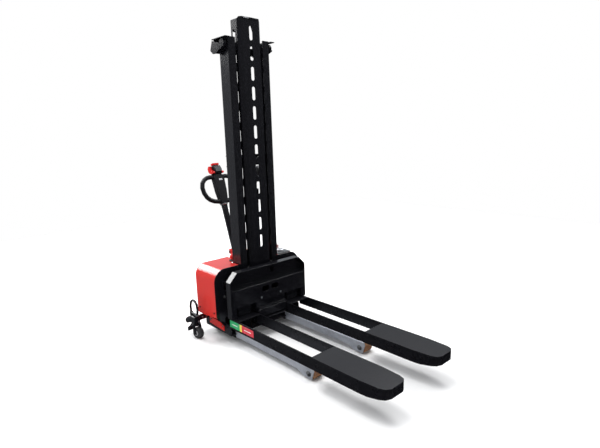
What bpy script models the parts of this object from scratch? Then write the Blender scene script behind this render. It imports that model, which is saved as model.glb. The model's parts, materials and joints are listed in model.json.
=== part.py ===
"""Self-loading walkie stacker: mast, lifting carriage with two forks, retractable
support legs, steered drive wheel under a folding tiller, and two stabiliser casters.

Axes: +Z up, floor at z = 0, forks point to -Y, x = 0 is the mirror plane.
Lengths are in metres. Every y below is measured from the fork heel plane; HEEL_Y
moves that plane so that the origin ends up under the middle of the machine.
"""
import math

import bmesh
import bpy
from mathutils import Matrix, Vector

HEEL_Y = 0.282
GAP = 0.0004
SIDES = (("left", -1.0), ("right", 1.0))

# forks
FORK_OUTER = 0.293
FORK_WIDTH = 0.172
FORK_TOP = 0.172
FORK_BOTTOM = 0.105
FORK_WALL = 0.006
FORK_TOP_PLATE = 0.008
FORK_TIP_Y = -1.150
FORK_REAR_Y = 0.030
FORK_SLOT_Y = (-0.690, -0.055)

# carriage
CARRIAGE_HALF = 0.305
CARRIAGE_TOP = 0.460
CARRIAGE_CHAMFER = 0.054
CARRIAGE_Y = (-0.015, 0.030)
CARRIAGE_WALL = 0.006
CARRIAGE_SHEET_Y = CARRIAGE_Y[0] - 0.008
CARRIAGE_LEDGE_Z = 0.351
CARRIAGE_RISER_TOP = 0.367
HEEL_WINDOW_TOP = 0.240
HEEL_WINDOW_OUTER = 0.266
SHANK_X = (0.150, 0.245)
BEAM_HALF = 0.1205
BEAM_BOTTOM = 0.121

# mast
UPRIGHT_X = (0.100, 0.149)
UPRIGHT_Y = (0.080, 0.180)
UPRIGHT_WALL = 0.008
UPRIGHT_TOP = 1.829
GUARD_FRONT_Y = 0.060
GUARD_REAR_Y = 0.143
GUARD_FRONT_HALF = 0.061
GUARD_HALF = 0.083
GUARD_SHEET = 0.003
GUARD_Z = (0.300, 1.943)
SLOT_COUNT = 12
SLOT_TOP_Z = 1.896
SLOT_PITCH = 0.1137
SLOT_LENGTH = 0.079
SLOT_WIDTH = 0.022
SIDE_SLOT_WIDTH = 0.026
SIDE_SLOT_Y = 0.116
SIDE_SLOT_DROP = 0.020
ROLLER_RADIUS = 0.037
ROLLER_X = 0.120
ROLLER_Y = 0.126
ROLLER_Z = (0.190, 0.400)

# lift cylinder
CYLINDER_Y = 0.112
CYLINDER_RADIUS = 0.028
ROD_RADIUS = 0.018
BARREL_TOP = 0.936
ROD_Z = (0.280, 0.985)
PULLEY_X = 0.031
PULLEY_Z = 1.045
PULLEY_RADIUS = 0.036

# body
BODY_HALF = 0.340
BODY_Y = (0.0985, 0.343)
BODY_Z = (0.150, 0.470)
BODY_SHOULDER = 0.075
BODY_REAR_ROUND = 0.024
PANEL_TOP = BODY_Z[1] + 0.007
GAUGE_XY = (0.232, 0.148)
KEY_XY = (0.255, 0.205)
STOP_XY = (-0.120, 0.215)
FRONT_PLATE_Y = (0.0925, 0.0980)
FRONT_PLATE_HALF = 0.345
FRONT_PLATE_TOP = 0.472
BASE_HALF = 0.285
BASE_Y = (0.035, 0.330)
BASE_Z = (0.0475, 0.150)
PLATE = 0.006

# support legs
LEG_X = (0.165, 0.245)
LEG_Z = (0.029, 0.075)
LEG_FRONT_Y = -0.560
LEG_REAR_Y = 0.120
LOAD_ROLLER_Y = -0.620
LOAD_ROLLER_RADIUS = 0.037

# drive unit and tiller
STEER_Y = 0.265
DRIVE_RADIUS = 0.088
DRIVE_HALF_WIDTH = 0.035
TILLER_PIVOT = Vector((0.0, 0.362, 0.490))
TILLER_LEAN = math.radians(18.0)
LUG_RADIUS = 0.0185
HANDLE_S = (0.3355, 0.548)
HEAD_S = 0.5488
HEAD_HALF = 0.028
BUTTON_X = (-0.0165, 0.0, 0.0165)
BUTTON_S = HEAD_S + 0.023
BUTTON_RADIUS = 0.0066

# stabiliser casters
CASTER_X = 0.390
CASTER_Y = 0.284
CASTER_TRAIL = 0.022
CASTER_RADIUS = 0.0370
CASTER_TURN = math.radians(-10.0)


# ---------------------------------------------------------------- mesh helpers
def box(x, y, z):
    """Closed box between the pairs x, y and z."""
    mesh = bmesh.new()
    bmesh.ops.create_cube(mesh, size=1.0)
    size = Vector((abs(x[1] - x[0]), abs(y[1] - y[0]), abs(z[1] - z[0])))
    centre = Vector(((x[0] + x[1]) / 2, (y[0] + y[1]) / 2, (z[0] + z[1]) / 2))
    bmesh.ops.scale(mesh, vec=size, verts=mesh.verts)
    bmesh.ops.translate(mesh, vec=centre, verts=mesh.verts)
    return mesh


AXIS_PLANES = {"x": (1, 2, 0), "y": (2, 0, 1), "z": (0, 1, 2)}


def prism(points, axis, span):
    """Polygon drawn in the plane across an axis, extruded between the two span values."""
    first, second, third = AXIS_PLANES[axis]
    area = sum(a[0] * b[1] - b[0] * a[1] for a, b in zip(points, points[1:] + points[:1]))
    ring = list(points) if area > 0 else list(reversed(points))
    mesh = bmesh.new()
    loops = []
    for level in (min(span), max(span)):
        loop = []
        for u, v in ring:
            position = [0.0, 0.0, 0.0]
            position[first], position[second], position[third] = u, v, level
            loop.append(mesh.verts.new(position))
        loops.append(loop)
    lower, upper = loops
    mesh.faces.new(list(reversed(lower)))
    mesh.faces.new(upper)
    count = len(ring)
    for i in range(count):
        j = (i + 1) % count
        mesh.faces.new((lower[i], lower[j], upper[j], upper[i]))
    return mesh


def loft(sections):
    """Closed body through rings of points that all have the same count."""
    mesh = bmesh.new()
    rings = [[mesh.verts.new(point) for point in section] for section in sections]
    mesh.faces.new(rings[0])
    mesh.faces.new(rings[-1])
    for ring, following in zip(rings, rings[1:]):
        for i in range(len(ring)):
            j = (i + 1) % len(ring)
            mesh.faces.new((ring[i], ring[j], following[j], following[i]))
    bmesh.ops.recalc_face_normals(mesh, faces=mesh.faces)
    return mesh


def arc(centre, radius, start, end, steps):
    """Points of an arc given in degrees, both ends included."""
    points = []
    for i in range(steps + 1):
        angle = math.radians(start + (end - start) * i / steps)
        points.append((centre[0] + radius * math.cos(angle), centre[1] + radius * math.sin(angle)))
    return points


def rounded(points, radius, steps=4):
    """Polygon with each corner replaced by a quadratic curve that starts radius away."""
    result = []
    count = len(points)
    for i in range(count):
        corner = Vector(points[i])
        before = (Vector(points[i - 1]) - corner).normalized() * radius
        after = (Vector(points[(i + 1) % count]) - corner).normalized() * radius
        for k in range(steps + 1):
            t = k / steps
            point = corner + before * (1 - t) ** 2 + after * t ** 2
            result.append((point.x, point.y))
    return result


def cylinder(centre, radius, length, axis, segments=28):
    """Closed cylinder centred on a point, along an axis letter."""
    ring = arc((0.0, 0.0), radius, 0.0, 360.0 * (segments - 1) / segments, segments - 1)
    mesh = prism(ring, axis, (-length / 2, length / 2))
    bmesh.ops.translate(mesh, vec=Vector(centre), verts=mesh.verts)
    return mesh


def lathe(profile, centre, axis, segments=32):
    """Profile of (radius, height) points turned about an axis letter through centre."""
    mesh = bmesh.new()
    first, second, third = AXIS_PLANES[axis]
    rings = []
    for radius, height in profile:
        count = segments if radius > 0 else 1
        ring = []
        for i in range(count):
            angle = 2 * math.pi * i / segments
            position = [0.0, 0.0, 0.0]
            position[first] = radius * math.cos(angle)
            position[second] = radius * math.sin(angle)
            position[third] = height
            ring.append(mesh.verts.new(position))
        rings.append(ring)
    pairs = list(zip(rings, rings[1:]))
    if len(rings[0]) > 1 and len(rings[-1]) > 1:
        pairs.append((rings[-1], rings[0]))
    for ring, following in pairs:
        for i in range(segments):
            j = (i + 1) % segments
            corners = [ring[i % len(ring)], ring[j % len(ring)],
                       following[j % len(following)], following[i % len(following)]]
            unique = list(dict.fromkeys(corners))
            if len(unique) > 2:
                mesh.faces.new(unique)
    bmesh.ops.recalc_face_normals(mesh, faces=mesh.faces)
    bmesh.ops.translate(mesh, vec=Vector(centre), verts=mesh.verts)
    return mesh


def tube(path, radius, closed=False, segments=12):
    """Round bar of constant radius along a list of points."""
    points = [Vector(p) for p in path]
    count = len(points)
    mesh = bmesh.new()
    rings = []
    normal = None
    for i, point in enumerate(points):
        if closed:
            tangent = points[(i + 1) % count] - points[i - 1]
        else:
            tangent = points[min(i + 1, count - 1)] - points[max(i - 1, 0)]
        tangent.normalize()
        if normal is None:
            normal = tangent.orthogonal().normalized()
        normal = (normal - tangent * normal.dot(tangent)).normalized()
        side = tangent.cross(normal)
        ring = []
        for k in range(segments):
            angle = 2 * math.pi * k / segments
            offset = normal * math.cos(angle) + side * math.sin(angle)
            ring.append(mesh.verts.new(point + offset * radius))
        rings.append(ring)
    last = count if closed else count - 1
    for i in range(last):
        ring, following = rings[i], rings[(i + 1) % count]
        for k in range(segments):
            j = (k + 1) % segments
            mesh.faces.new((ring[k], ring[j], following[j], following[k]))
    if not closed:
        mesh.faces.new(list(reversed(rings[0])))
        mesh.faces.new(rings[-1])
    bmesh.ops.recalc_face_normals(mesh, faces=mesh.faces)
    return mesh


def merged(meshes):
    """One mesh holding several shells that stay apart, for use as a cutter."""
    result = bmesh.new()
    for mesh in meshes:
        data = bpy.data.meshes.new("shell")
        mesh.to_mesh(data)
        mesh.free()
        result.from_mesh(data)
        bpy.data.meshes.remove(data)
    return result


def temporary(mesh, name):
    data = bpy.data.meshes.new(name)
    mesh.to_mesh(data)
    mesh.free()
    thing = bpy.data.objects.new(name, data)
    bpy.context.scene.collection.objects.link(thing)
    return thing


def boolean(mesh, cutter, operation):
    """Exact Boolean of two closed meshes; both inputs are used up."""
    base = temporary(mesh, "base")
    tool = temporary(cutter, "tool")
    modifier = base.modifiers.new("op", "BOOLEAN")
    modifier.operation = operation
    modifier.solver = "EXACT"
    modifier.object = tool
    bpy.context.view_layer.update()
    evaluated = base.evaluated_get(bpy.context.evaluated_depsgraph_get())
    result = bmesh.new()
    result.from_mesh(evaluated.to_mesh())
    evaluated.to_mesh_clear()
    for thing in (base, tool):
        data = thing.data
        bpy.data.objects.remove(thing)
        bpy.data.meshes.remove(data)
    bmesh.ops.remove_doubles(result, verts=result.verts, dist=1e-6)
    bmesh.ops.dissolve_limit(result, angle_limit=0.002, verts=result.verts, edges=result.edges)
    return result


def union(*meshes):
    result = meshes[0]
    for mesh in meshes[1:]:
        result = boolean(result, mesh, "UNION")
    return result


def cut(mesh, *cutters):
    for cutter in cutters:
        mesh = boolean(mesh, cutter, "DIFFERENCE")
    return mesh


def bevelled(mesh, width, angle=40.0, segments=1):
    """Bevel the sharp edges of a mesh."""
    sharp = [e for e in mesh.edges if e.is_manifold and e.calc_face_angle(0.0) > math.radians(angle)]
    bmesh.ops.bevel(mesh, geom=sharp, offset=width, segments=segments, affect="EDGES",
                    clamp_overlap=True)
    return mesh


def mirrored(mesh, side):
    """Reflect a mesh drawn on the +X side when it belongs on the left."""
    if side < 0:
        bmesh.ops.scale(mesh, vec=Vector((-1.0, 1.0, 1.0)), verts=mesh.verts)
        bmesh.ops.reverse_faces(mesh, faces=mesh.faces)
    return mesh


def turned(mesh, angle, axis, centre):
    bmesh.ops.rotate(mesh, cent=Vector(centre), matrix=Matrix.Rotation(angle, 3, axis), verts=mesh.verts)
    return mesh


def finish_material(name):
    """The Principled material of a finish, made the first time that a piece asks for it."""
    material = bpy.data.materials.get(name)
    if material is None:
        color, roughness, metallic = FINISHES[name]
        material = bpy.data.materials.new(name)
        material.use_nodes = True
        shader = material.node_tree.nodes["Principled BSDF"]
        shader.inputs["Base Color"].default_value = (*color, 1.0)
        shader.inputs["Roughness"].default_value = roughness
        shader.inputs["Metallic"].default_value = metallic
    return material


def add_node(collection, name, mesh, finish, origin):
    """Turn a mesh into a named object in the shared frame, with its origin on its joint."""
    bmesh.ops.translate(mesh, vec=-Vector(origin), verts=mesh.verts)
    bmesh.ops.triangulate(mesh, faces=[f for f in mesh.faces if len(f.verts) > 4])
    data = bpy.data.meshes.new(name)
    mesh.to_mesh(data)
    mesh.free()
    data.shade_smooth()
    data.set_sharp_from_angle(angle=math.radians(30.0))
    data.materials.append(finish_material(finish))
    thing = bpy.data.objects.new(name, data)
    thing.location = Vector(origin) + Vector((0.0, HEEL_Y, 0.0))
    collection.objects.link(thing)


# ---------------------------------------------------------------- forks and carriage
def fork_outline(inset):
    """Plan outline of the right fork, narrowed by inset, heel end left square."""
    outer = FORK_OUTER - inset
    inner = FORK_OUTER - FORK_WIDTH + inset
    tip = FORK_TIP_Y + inset
    rear = FORK_REAR_Y + 4 * inset
    taper = 0.008
    corner = 0.036
    points = [(inner, rear), (inner, -1.0), (inner + taper, tip + 0.045)]
    points += [(inner + taper + corner * 0.30, tip + 0.014), (inner + taper + corner, tip)]
    points += [(outer - taper - corner, tip), (outer - taper - corner * 0.30, tip + 0.014)]
    points += [(outer - taper, tip + 0.045), (outer, -1.0), (outer, rear)]
    return points


def fork():
    """Inverted channel; the top plate only covers the front and a strip at the heel."""
    shell = prism(fork_outline(0.0), "z", (FORK_BOTTOM, FORK_TOP))
    inside = prism(fork_outline(FORK_WALL), "z", (FORK_BOTTOM - 0.02, FORK_TOP - FORK_TOP_PLATE))
    inner = FORK_OUTER - FORK_WIDTH + FORK_WALL
    slot = box((inner, FORK_OUTER - FORK_WALL), FORK_SLOT_Y, (FORK_TOP - 0.03, FORK_TOP + 0.01))
    undercut = prism([(-1.040, FORK_BOTTOM - 0.001), (-1.040, 0.08), (-1.2, 0.08), (-1.2, 0.131)],
                     "x", (0.05, 0.35))
    return cut(shell, inside, slot, undercut)


def carriage_outline(inset):
    """Front view of the lifting plate: chamfered shoulders, windows over both fork heels."""
    half = CARRIAGE_HALF - inset
    top = CARRIAGE_TOP - inset
    chamfer = CARRIAGE_CHAMFER - inset * 0.41
    foot = FORK_TOP + GAP
    right = [(BEAM_HALF - inset, BEAM_BOTTOM + inset), (BEAM_HALF - inset, HEEL_WINDOW_TOP + inset),
             (HEEL_WINDOW_OUTER + inset, HEEL_WINDOW_TOP + inset), (HEEL_WINDOW_OUTER + inset, foot - inset),
             (half, foot - inset), (half, top - chamfer), (half - chamfer, top)]
    left = [(-x, z) for x, z in reversed(right)]
    return [(z, x) for x, z in right + left]


def below_ledge(drop):
    """Everything lower than a given drop under the ledge."""
    return box((-0.4, 0.4), (-0.06, 0.06), (0.0, CARRIAGE_LEDGE_Z - drop))


def heel_plates(side):
    """Back wall of one heel window and the forged shank of the fork in front of it."""
    bottom = FORK_TOP + GAP
    wall_y = (CARRIAGE_Y[1] - CARRIAGE_WALL, CARRIAGE_Y[1] - 0.001)
    wall = box((side * (BEAM_HALF - 0.003), side * (HEEL_WINDOW_OUTER + 0.003)), wall_y,
               (bottom + 0.001, HEEL_WINDOW_TOP + 0.004))
    shank = box((side * SHANK_X[0], side * SHANK_X[1]), (0.004, CARRIAGE_Y[1] - 0.003),
                (bottom + 0.002, HEEL_WINDOW_TOP + 0.003))
    return union(wall, shank)


def carriage_frame():
    """Folded steel carriage: tray above a ledge, thicker sheet below, heel beam with a lip."""
    pan = prism(carriage_outline(0.0), "y", CARRIAGE_Y)
    inner = carriage_outline(CARRIAGE_WALL)
    tray = cut(prism(inner, "y", (CARRIAGE_Y[0] - 0.01, CARRIAGE_Y[1] - CARRIAGE_WALL)), below_ledge(0.0))
    hollow = boolean(prism(inner, "y", (CARRIAGE_Y[0] + CARRIAGE_WALL, CARRIAGE_Y[1] + 0.01)),
                     below_ledge(0.010), "INTERSECT")
    pan = union(cut(pan, tray, hollow), heel_plates(-1), heel_plates(1))
    overlap_y = CARRIAGE_Y[0] + 0.002
    beam_x = (-BEAM_HALF + 0.004, BEAM_HALF - 0.004)
    sheet = box((-0.292, 0.292), (CARRIAGE_SHEET_Y, overlap_y),
                (HEEL_WINDOW_TOP + 0.002, CARRIAGE_LEDGE_Z - 0.001))
    riser = box((-0.301, 0.301), (0.014, CARRIAGE_Y[1] - 0.001),
                (CARRIAGE_LEDGE_Z - 0.005, CARRIAGE_RISER_TOP))
    beam = box(beam_x, (-0.034, overlap_y), (0.140, 0.188))
    rail = box((beam_x[0] + 0.001, beam_x[1] - 0.001), (-0.030, overlap_y - 0.0005), (0.186, 0.200))
    lip = box(beam_x, (-0.046, overlap_y), (0.123, 0.130))
    frame = union(pan, sheet, riser, beam, rail, lip)
    windows = [lying_slot(x, 0.314, (-0.05, overlap_y + 0.018), 0.062, 0.036) for x in (-0.044, 0.036)]
    notch = box((0.035, 0.066), (0.0, 0.05), (0.393, 0.431))
    return cut(frame, merged(windows + [notch]))


def slot_cutter(centre, axis, span, length, width):
    """Upright slot with round ends; centre is (x, z) for axis y and (y, z) for axis x."""
    reach = length / 2 - width / 2
    ring = arc((centre[0], centre[1] + reach), width / 2, 0.0, 180.0, 6)
    ring += arc((centre[0], centre[1] - reach), width / 2, 180.0, 360.0, 6)
    if axis == "y":
        ring = [(z, x) for x, z in ring]
    return prism(ring, axis, span)


def lying_slot(x, z, span, length, width):
    """Slot with round ends that lies across the machine."""
    reach = length / 2 - width / 2
    ring = arc((z, x + reach), width / 2, 0.0, 180.0, 6) + arc((z, x - reach), width / 2, 180.0, 360.0, 6)
    return prism(ring, "y", span)


def roller_bracket():
    """Plate behind the carriage that reaches between the upright and the guard."""
    top = ROLLER_Z[1] + 0.042
    bottom = ROLLER_Z[0] - 0.042
    rear = ROLLER_Y + 0.022
    front = CARRIAGE_Y[1] + GAP
    outline = [(front, bottom + 0.03), (front, top), (rear - 0.02, top), (rear, top - 0.02),
               (rear, bottom + 0.02), (rear - 0.02, bottom), (front + 0.03, bottom)]
    return prism(outline, "x", (0.0872, 0.0952))


def mast_roller(height):
    """Guide roller with its stub axle, running in the right upright."""
    profile = [(0.0, 0.0957), (0.012, 0.0957), (0.012, 0.106), (ROLLER_RADIUS - 0.002, 0.106),
               (ROLLER_RADIUS, 0.108), (ROLLER_RADIUS, 0.132), (ROLLER_RADIUS - 0.002, 0.134), (0.0, 0.134)]
    return lathe(profile, (0.0, ROLLER_Y, height), "x", 20)


# ---------------------------------------------------------------- mast
def upright():
    """Channel section, web outside, open towards the middle of the mast."""
    x0, x1 = UPRIGHT_X
    y0, y1 = UPRIGHT_Y
    wall = UPRIGHT_WALL
    section = [(x0, y0), (x1 - 0.004, y0), (x1, y0 + 0.004), (x1, y1 - 0.004), (x1 - 0.004, y1), (x0, y1),
               (x0, y1 - wall), (x1 - wall, y1 - wall), (x1 - wall, y0 + wall), (x0, y0 + wall)]
    return prism(section, "z", (BASE_Z[0] + PLATE + GAP, UPRIGHT_TOP))


def top_tie():
    """Tie behind the uprights; each end carries a cap, a gusset ear and a round boss."""
    y0 = UPRIGHT_Y[1] + GAP
    y1 = y0 + PLATE
    cap_z = (UPRIGHT_TOP - 0.0075, UPRIGHT_TOP - 0.0025)
    tie = box((-0.105, 0.105), (y0, y1), (1.750, 1.796))
    ear = [(0.228, 1.765), (0.206, 1.817), (0.088, 1.783), (0.088, 1.775), (0.140, 1.757), (0.172, 1.742),
           (0.202, 1.744)]
    for _, side in SIDES:
        end = box((0.098 * side, 0.1798 * side), (y0, y1), (1.745, cap_z[1] - 0.002))
        cap = box(((UPRIGHT_X[1] + GAP) * side, 0.1806 * side), (0.065, 0.208), cap_z)
        gusset = prism(ear, "x", (0.175 * side, 0.180 * side))
        boss = cylinder((0.1665 * side, 0.112, 1.794), 0.023, 0.021, "x", 24)
        tie = union(tie, end, cap, gusset, boss)
    return tie


def cross_tie(z0, z1):
    """Plain tie channel bolted across the back of the uprights."""
    y0 = UPRIGHT_Y[1] + GAP
    web = box((-0.140, 0.140), (y0, y0 + 0.005), (z0, z1))
    lower = box((-0.140, 0.140), (y0, y0 + 0.016), (z0, z0 + 0.005))
    upper = box((-0.140, 0.140), (y0, y0 + 0.016), (z1 - 0.005, z1))
    return union(web, lower, upper)


def guard_section(inset):
    """Plan section of the guard: flat front, sloping corners, open at the back."""
    front = GUARD_FRONT_Y + inset
    half = GUARD_HALF - inset
    flat = GUARD_FRONT_HALF - inset * 0.41
    shoulder = front + (half - flat)
    rear = GUARD_REAR_Y + inset
    return [(-half, rear), (-half, shoulder), (-flat, front), (flat, front), (half, shoulder), (half, rear)]


def mast_guard():
    """Tall bent-sheet cover over the lift cylinder, pierced by rows of upright slots."""
    shell = prism(guard_section(0.0), "z", GUARD_Z)
    inside = prism(guard_section(GUARD_SHEET), "z", (GUARD_Z[0] - 0.01, GUARD_Z[1] + 0.01))
    cutters = []
    for index in range(SLOT_COUNT):
        z = SLOT_TOP_Z - SLOT_LENGTH / 2 - index * SLOT_PITCH
        cutters.append(slot_cutter((0.0, z), "y", (0.03, 0.066), SLOT_LENGTH, SLOT_WIDTH))
        for _, side in SIDES:
            cutters.append(slot_cutter((SIDE_SLOT_Y, z - SIDE_SLOT_DROP), "x", (0.072 * side, 0.12 * side),
                                       SLOT_LENGTH, SIDE_SLOT_WIDTH))
    corners = merged([trim_corner(side) for _, side in SIDES])
    return cut(shell, inside, merged(cutters), corners)


def trim_corner(side):
    """Wedge that slopes off one top corner of the guard."""
    outline = [(GUARD_Z[1] + 0.02, 0.058 * side), (GUARD_Z[1] + 0.02, 0.120 * side),
               (GUARD_Z[1] - 0.014, 0.120 * side), (GUARD_Z[1] - 0.014, 0.0835 * side)]
    return prism(outline, "y", (0.0, 0.2))


def cylinder_barrel():
    bottom = BASE_Z[0] + PLATE + GAP
    profile = [(0.0, bottom), (CYLINDER_RADIUS + 0.008, bottom), (CYLINDER_RADIUS + 0.008, bottom + 0.03),
               (CYLINDER_RADIUS, bottom + 0.035), (CYLINDER_RADIUS, BARREL_TOP - 0.04),
               (CYLINDER_RADIUS + 0.004, BARREL_TOP - 0.038), (CYLINDER_RADIUS + 0.004, BARREL_TOP),
               (ROD_RADIUS + 0.001, BARREL_TOP), (ROD_RADIUS + 0.001, 0.10), (0.0, 0.10)]
    return lathe(profile, (0.0, CYLINDER_Y, 0.0), "z", 24)


def piston_rod():
    """Chromed rod with the crosshead that carries both chain pulleys."""
    rod = cylinder((0.0, CYLINDER_Y, sum(ROD_Z) / 2), ROD_RADIUS, ROD_Z[1] - ROD_Z[0], "z", 24)
    depth = (CYLINDER_Y - ROD_RADIUS, CYLINDER_Y + ROD_RADIUS)
    yoke = box((-0.062, 0.062), depth, (ROD_Z[1] - 0.004, ROD_Z[1] + 0.016))
    web = box((-0.010, 0.010), depth, (ROD_Z[1] + 0.01, PULLEY_Z + 0.020))
    return union(rod, yoke, web)


def chain_pulley():
    """Grooved pulley beside the crosshead web."""
    r = PULLEY_RADIUS
    profile = [(0.0, 0.0105), (0.014, 0.0105), (0.014, 0.018), (r, 0.018), (r, 0.021), (r - 0.006, 0.024),
               (r - 0.006, 0.038), (r, 0.041), (r, 0.044), (0.0, 0.044)]
    return lathe(profile, (0.0, CYLINDER_Y, PULLEY_Z), "x", 20)


# ---------------------------------------------------------------- chassis and covers
def front_plate():
    """Upright wings beside the foot of the mast, joined by a web that runs behind it."""
    half = FRONT_PLATE_HALF
    top = FRONT_PLATE_TOP
    mast_side = UPRIGHT_X[1] + 0.0015
    outline = [(mast_side, 0.155), (BASE_HALF + 0.001, 0.155), (BASE_HALF + 0.001, 0.102),
               (BASE_HALF + 0.012, 0.102), (half, 0.170)]
    outline += arc((half - 0.080, top - 0.080), 0.080, 0.0, 90.0, 8) + [(mast_side, top)]
    web_y = (UPRIGHT_Y[1] + 0.0045, UPRIGHT_Y[1] + 0.0095)
    plate = box((-mast_side - 0.003, mast_side + 0.003), web_y, (0.200, 0.300))
    for _, side in SIDES:
        wing = prism([(z, x * side) for x, z in outline], "y", FRONT_PLATE_Y)
        wing = cut(wing, slot_cutter((0.262 * side, 0.360), "y", (0.08, 0.11), 0.060, 0.030))
        rib = box((mast_side * side, (mast_side + 0.005) * side),
                  (FRONT_PLATE_Y[0] + 0.001, web_y[1]), (0.160, 0.300))
        plate = union(plate, rib, wing)
    return plate


def body_cover_outline(inset, bottom):
    half = BODY_HALF - inset
    top = BODY_Z[1] - inset
    radius = BODY_SHOULDER - inset
    right = [(half, bottom)] + arc((half - radius, top - radius), radius, 0.0, 90.0, 8)
    left = [(-x, z) for x, z in reversed(right)]
    return [(z, x) for x, z in right + left]


def hood(wall, front, bottom):
    """Solid with the hood's outer form, made smaller by wall on every outer face."""
    stations = [(front, wall)]
    for angle in range(0, 91, 15):
        turn = math.radians(angle)
        stations.append((BODY_Y[1] - wall - BODY_REAR_ROUND * (1 - math.sin(turn)),
                         wall + BODY_REAR_ROUND * (1 - math.cos(turn))))
    return loft([[(x, y, z) for z, x in body_cover_outline(inset, bottom)] for y, inset in stations])


def body_cover():
    """Red hood behind the front plate: round shoulders, round rear edges, open below."""
    shell = hood(0.0, BODY_Y[0], BODY_Z[0])
    inside = hood(0.004, BODY_Y[0] - 0.02, BODY_Z[0] - 0.02)
    mast_notch = box((-0.155, 0.155), (0.05, UPRIGHT_Y[1] + 0.018), (0.30, 0.60))
    keyhole = arc((0.0, STEER_Y), 0.094, 180.0, 360.0, 16) + [(0.094, 0.40), (-0.094, 0.40)]
    column = prism(keyhole, "z", (0.35, 0.60))
    sides = [prism([(0.05, 0.10), (0.40, 0.10), (0.40, 0.144), (0.330, 0.144), (0.05, 0.166)],
                   "x", (0.30 * s, 0.40 * s)) for _, s in SIDES]
    return cut(shell, inside, mast_notch, column, merged(sides))


def side_panel():
    """Narrow red panel low on the side of the base."""
    outline = [(0.108, 0.108), (0.108, 0.061), (0.278, 0.072), (0.278, 0.118)]
    return bevelled(prism(outline, "x", (BASE_HALF + GAP, BASE_HALF + 0.004)), 0.0008, 60.0)


def base_frame():
    """Welded chassis: side plates, floor plate, rear plate and the two leg sleeves."""
    inner = BASE_HALF - PLATE
    floor_z = (BASE_Z[0], BASE_Z[0] + PLATE)
    plate_x = (-BASE_HALF + 0.001, BASE_HALF - 0.001)
    frame = box(plate_x, (BASE_Y[0] + 0.0013, BASE_Y[1] - 0.001), floor_z)
    for _, side in SIDES:
        low = BASE_Z[0] - 0.0006
        wall = prism([(BASE_Y[0], low), (BASE_Y[1], low), (BASE_Y[1], 0.300),
                      (0.200, 0.300), (0.110, 0.160), (0.090, 0.118), (BASE_Y[0], 0.112)],
                     "x", (inner * side, BASE_HALF * side))
        sleeve = box(((LEG_X[0] - 0.006) * side, (LEG_X[1] + 0.006) * side), (0.045, 0.325),
                     (LEG_Z[0] - 0.005, LEG_Z[1] + 0.006))
        frame = union(frame, wall, sleeve)
    rear = box(plate_x, (BASE_Y[1] - PLATE, BASE_Y[1] - 0.0004), (BASE_Z[0] - 0.0003, 0.2996))
    frame = union(frame, rear)
    cavities = [box(((LEG_X[0] - 0.0008) * s, (LEG_X[1] + 0.0008) * s), (0.0, 0.4),
                    (LEG_Z[0] - 0.0008, LEG_Z[1] + 0.0008)) for _, s in SIDES]
    keyhole = arc((0.0, STEER_Y), 0.101, 180.0, 360.0, 18) + [(0.101, 0.40), (-0.101, 0.40)]
    return cut(frame, merged(cavities), prism(keyhole, "z", (0.0, 0.225)))


def drive_arch():
    """Bridge over the drive wheel with the ring that the steered unit turns in."""
    foot = BASE_Z[0] + PLATE + GAP
    plate = box((-0.112, 0.112), (0.192, 0.322), (0.232, 0.242))
    webs = [box((0.1035 * s, 0.112 * s), (0.192, 0.322), (foot, 0.236)) for _, s in SIDES]
    hole = cylinder((0.0, STEER_Y, 0.24), 0.0562, 0.06, "z", 36)
    return cut(union(plate, *webs), hole)


def battery():
    case = bevelled(box((-0.272, -0.122), (0.194, 0.320), (0.090, 0.290)), 0.004)
    lid = box((-0.274, -0.120), (0.192, 0.322), (0.284, 0.296))
    posts = [cylinder((x, 0.215, 0.298), 0.008, 0.020, "z", 16) for x in (-0.245, -0.150)]
    return union(case, lid, *posts)


def oil_tank():
    tank = bevelled(box((0.118, 0.200), (0.195, 0.320), (0.090, 0.300)), 0.008)
    neck = cylinder((0.159, 0.250, 0.305), 0.014, 0.024, "z", 20)
    return union(tank, neck)


def pump_motor():
    motor = cylinder((0.241, 0.255, 0.235), 0.036, 0.150, "z", 28)
    cap = cylinder((0.241, 0.255, 0.316), 0.026, 0.014, "z", 24)
    pump = box((0.213, 0.269), (0.227, 0.283), (0.090, 0.162))
    return union(motor, cap, pump)


def controller():
    """Finned motor controller on a shelf over the battery."""
    block = box((-0.255, -0.125), (0.215, 0.305), (0.325, 0.352))
    fins = [box((-0.250 + 0.02 * i, -0.244 + 0.02 * i), (0.218, 0.302), (0.350, 0.366)) for i in range(6)]
    return union(block, *fins)


def instrument_panel():
    """Low plate on the hood under the battery gauge and the key."""
    outline = [(0.170, 0.101), (0.285, 0.101), (0.285, 0.235), (0.170, 0.235)]
    return prism(rounded(outline, 0.014), "z", (BODY_Z[1] + GAP, PANEL_TOP))


def battery_gauge():
    z = PANEL_TOP + GAP
    profile = [(0.0, z), (0.024, z), (0.025, z + 0.002), (0.025, z + 0.012), (0.022, z + 0.015),
               (0.019, z + 0.013), (0.0, z + 0.013)]
    return lathe(profile, (*GAUGE_XY, 0.0), "z", 28)


def key_switch():
    z = PANEL_TOP + GAP
    barrel = lathe([(0.0, z), (0.012, z), (0.012, z + 0.006), (0.010, z + 0.008), (0.0, z + 0.008)],
                   (*KEY_XY, 0.0), "z", 20)
    x, y = KEY_XY
    blade = box((x - 0.0015, x + 0.0015), (y - 0.009, y + 0.009), (z + 0.006, z + 0.030))
    return union(barrel, blade)


def emergency_stop():
    """Mushroom button that is pressed down to cut the power."""
    z = BODY_Z[1] + GAP
    profile = [(0.0, z + 0.0075), (0.012, z + 0.0075), (0.012, z + 0.020), (0.021, z + 0.022),
               (0.022, z + 0.028), (0.018, z + 0.035), (0.009, z + 0.038), (0.0, z + 0.0385)]
    return lathe(profile, (*STOP_XY, 0.0), "z", 24)


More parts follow.
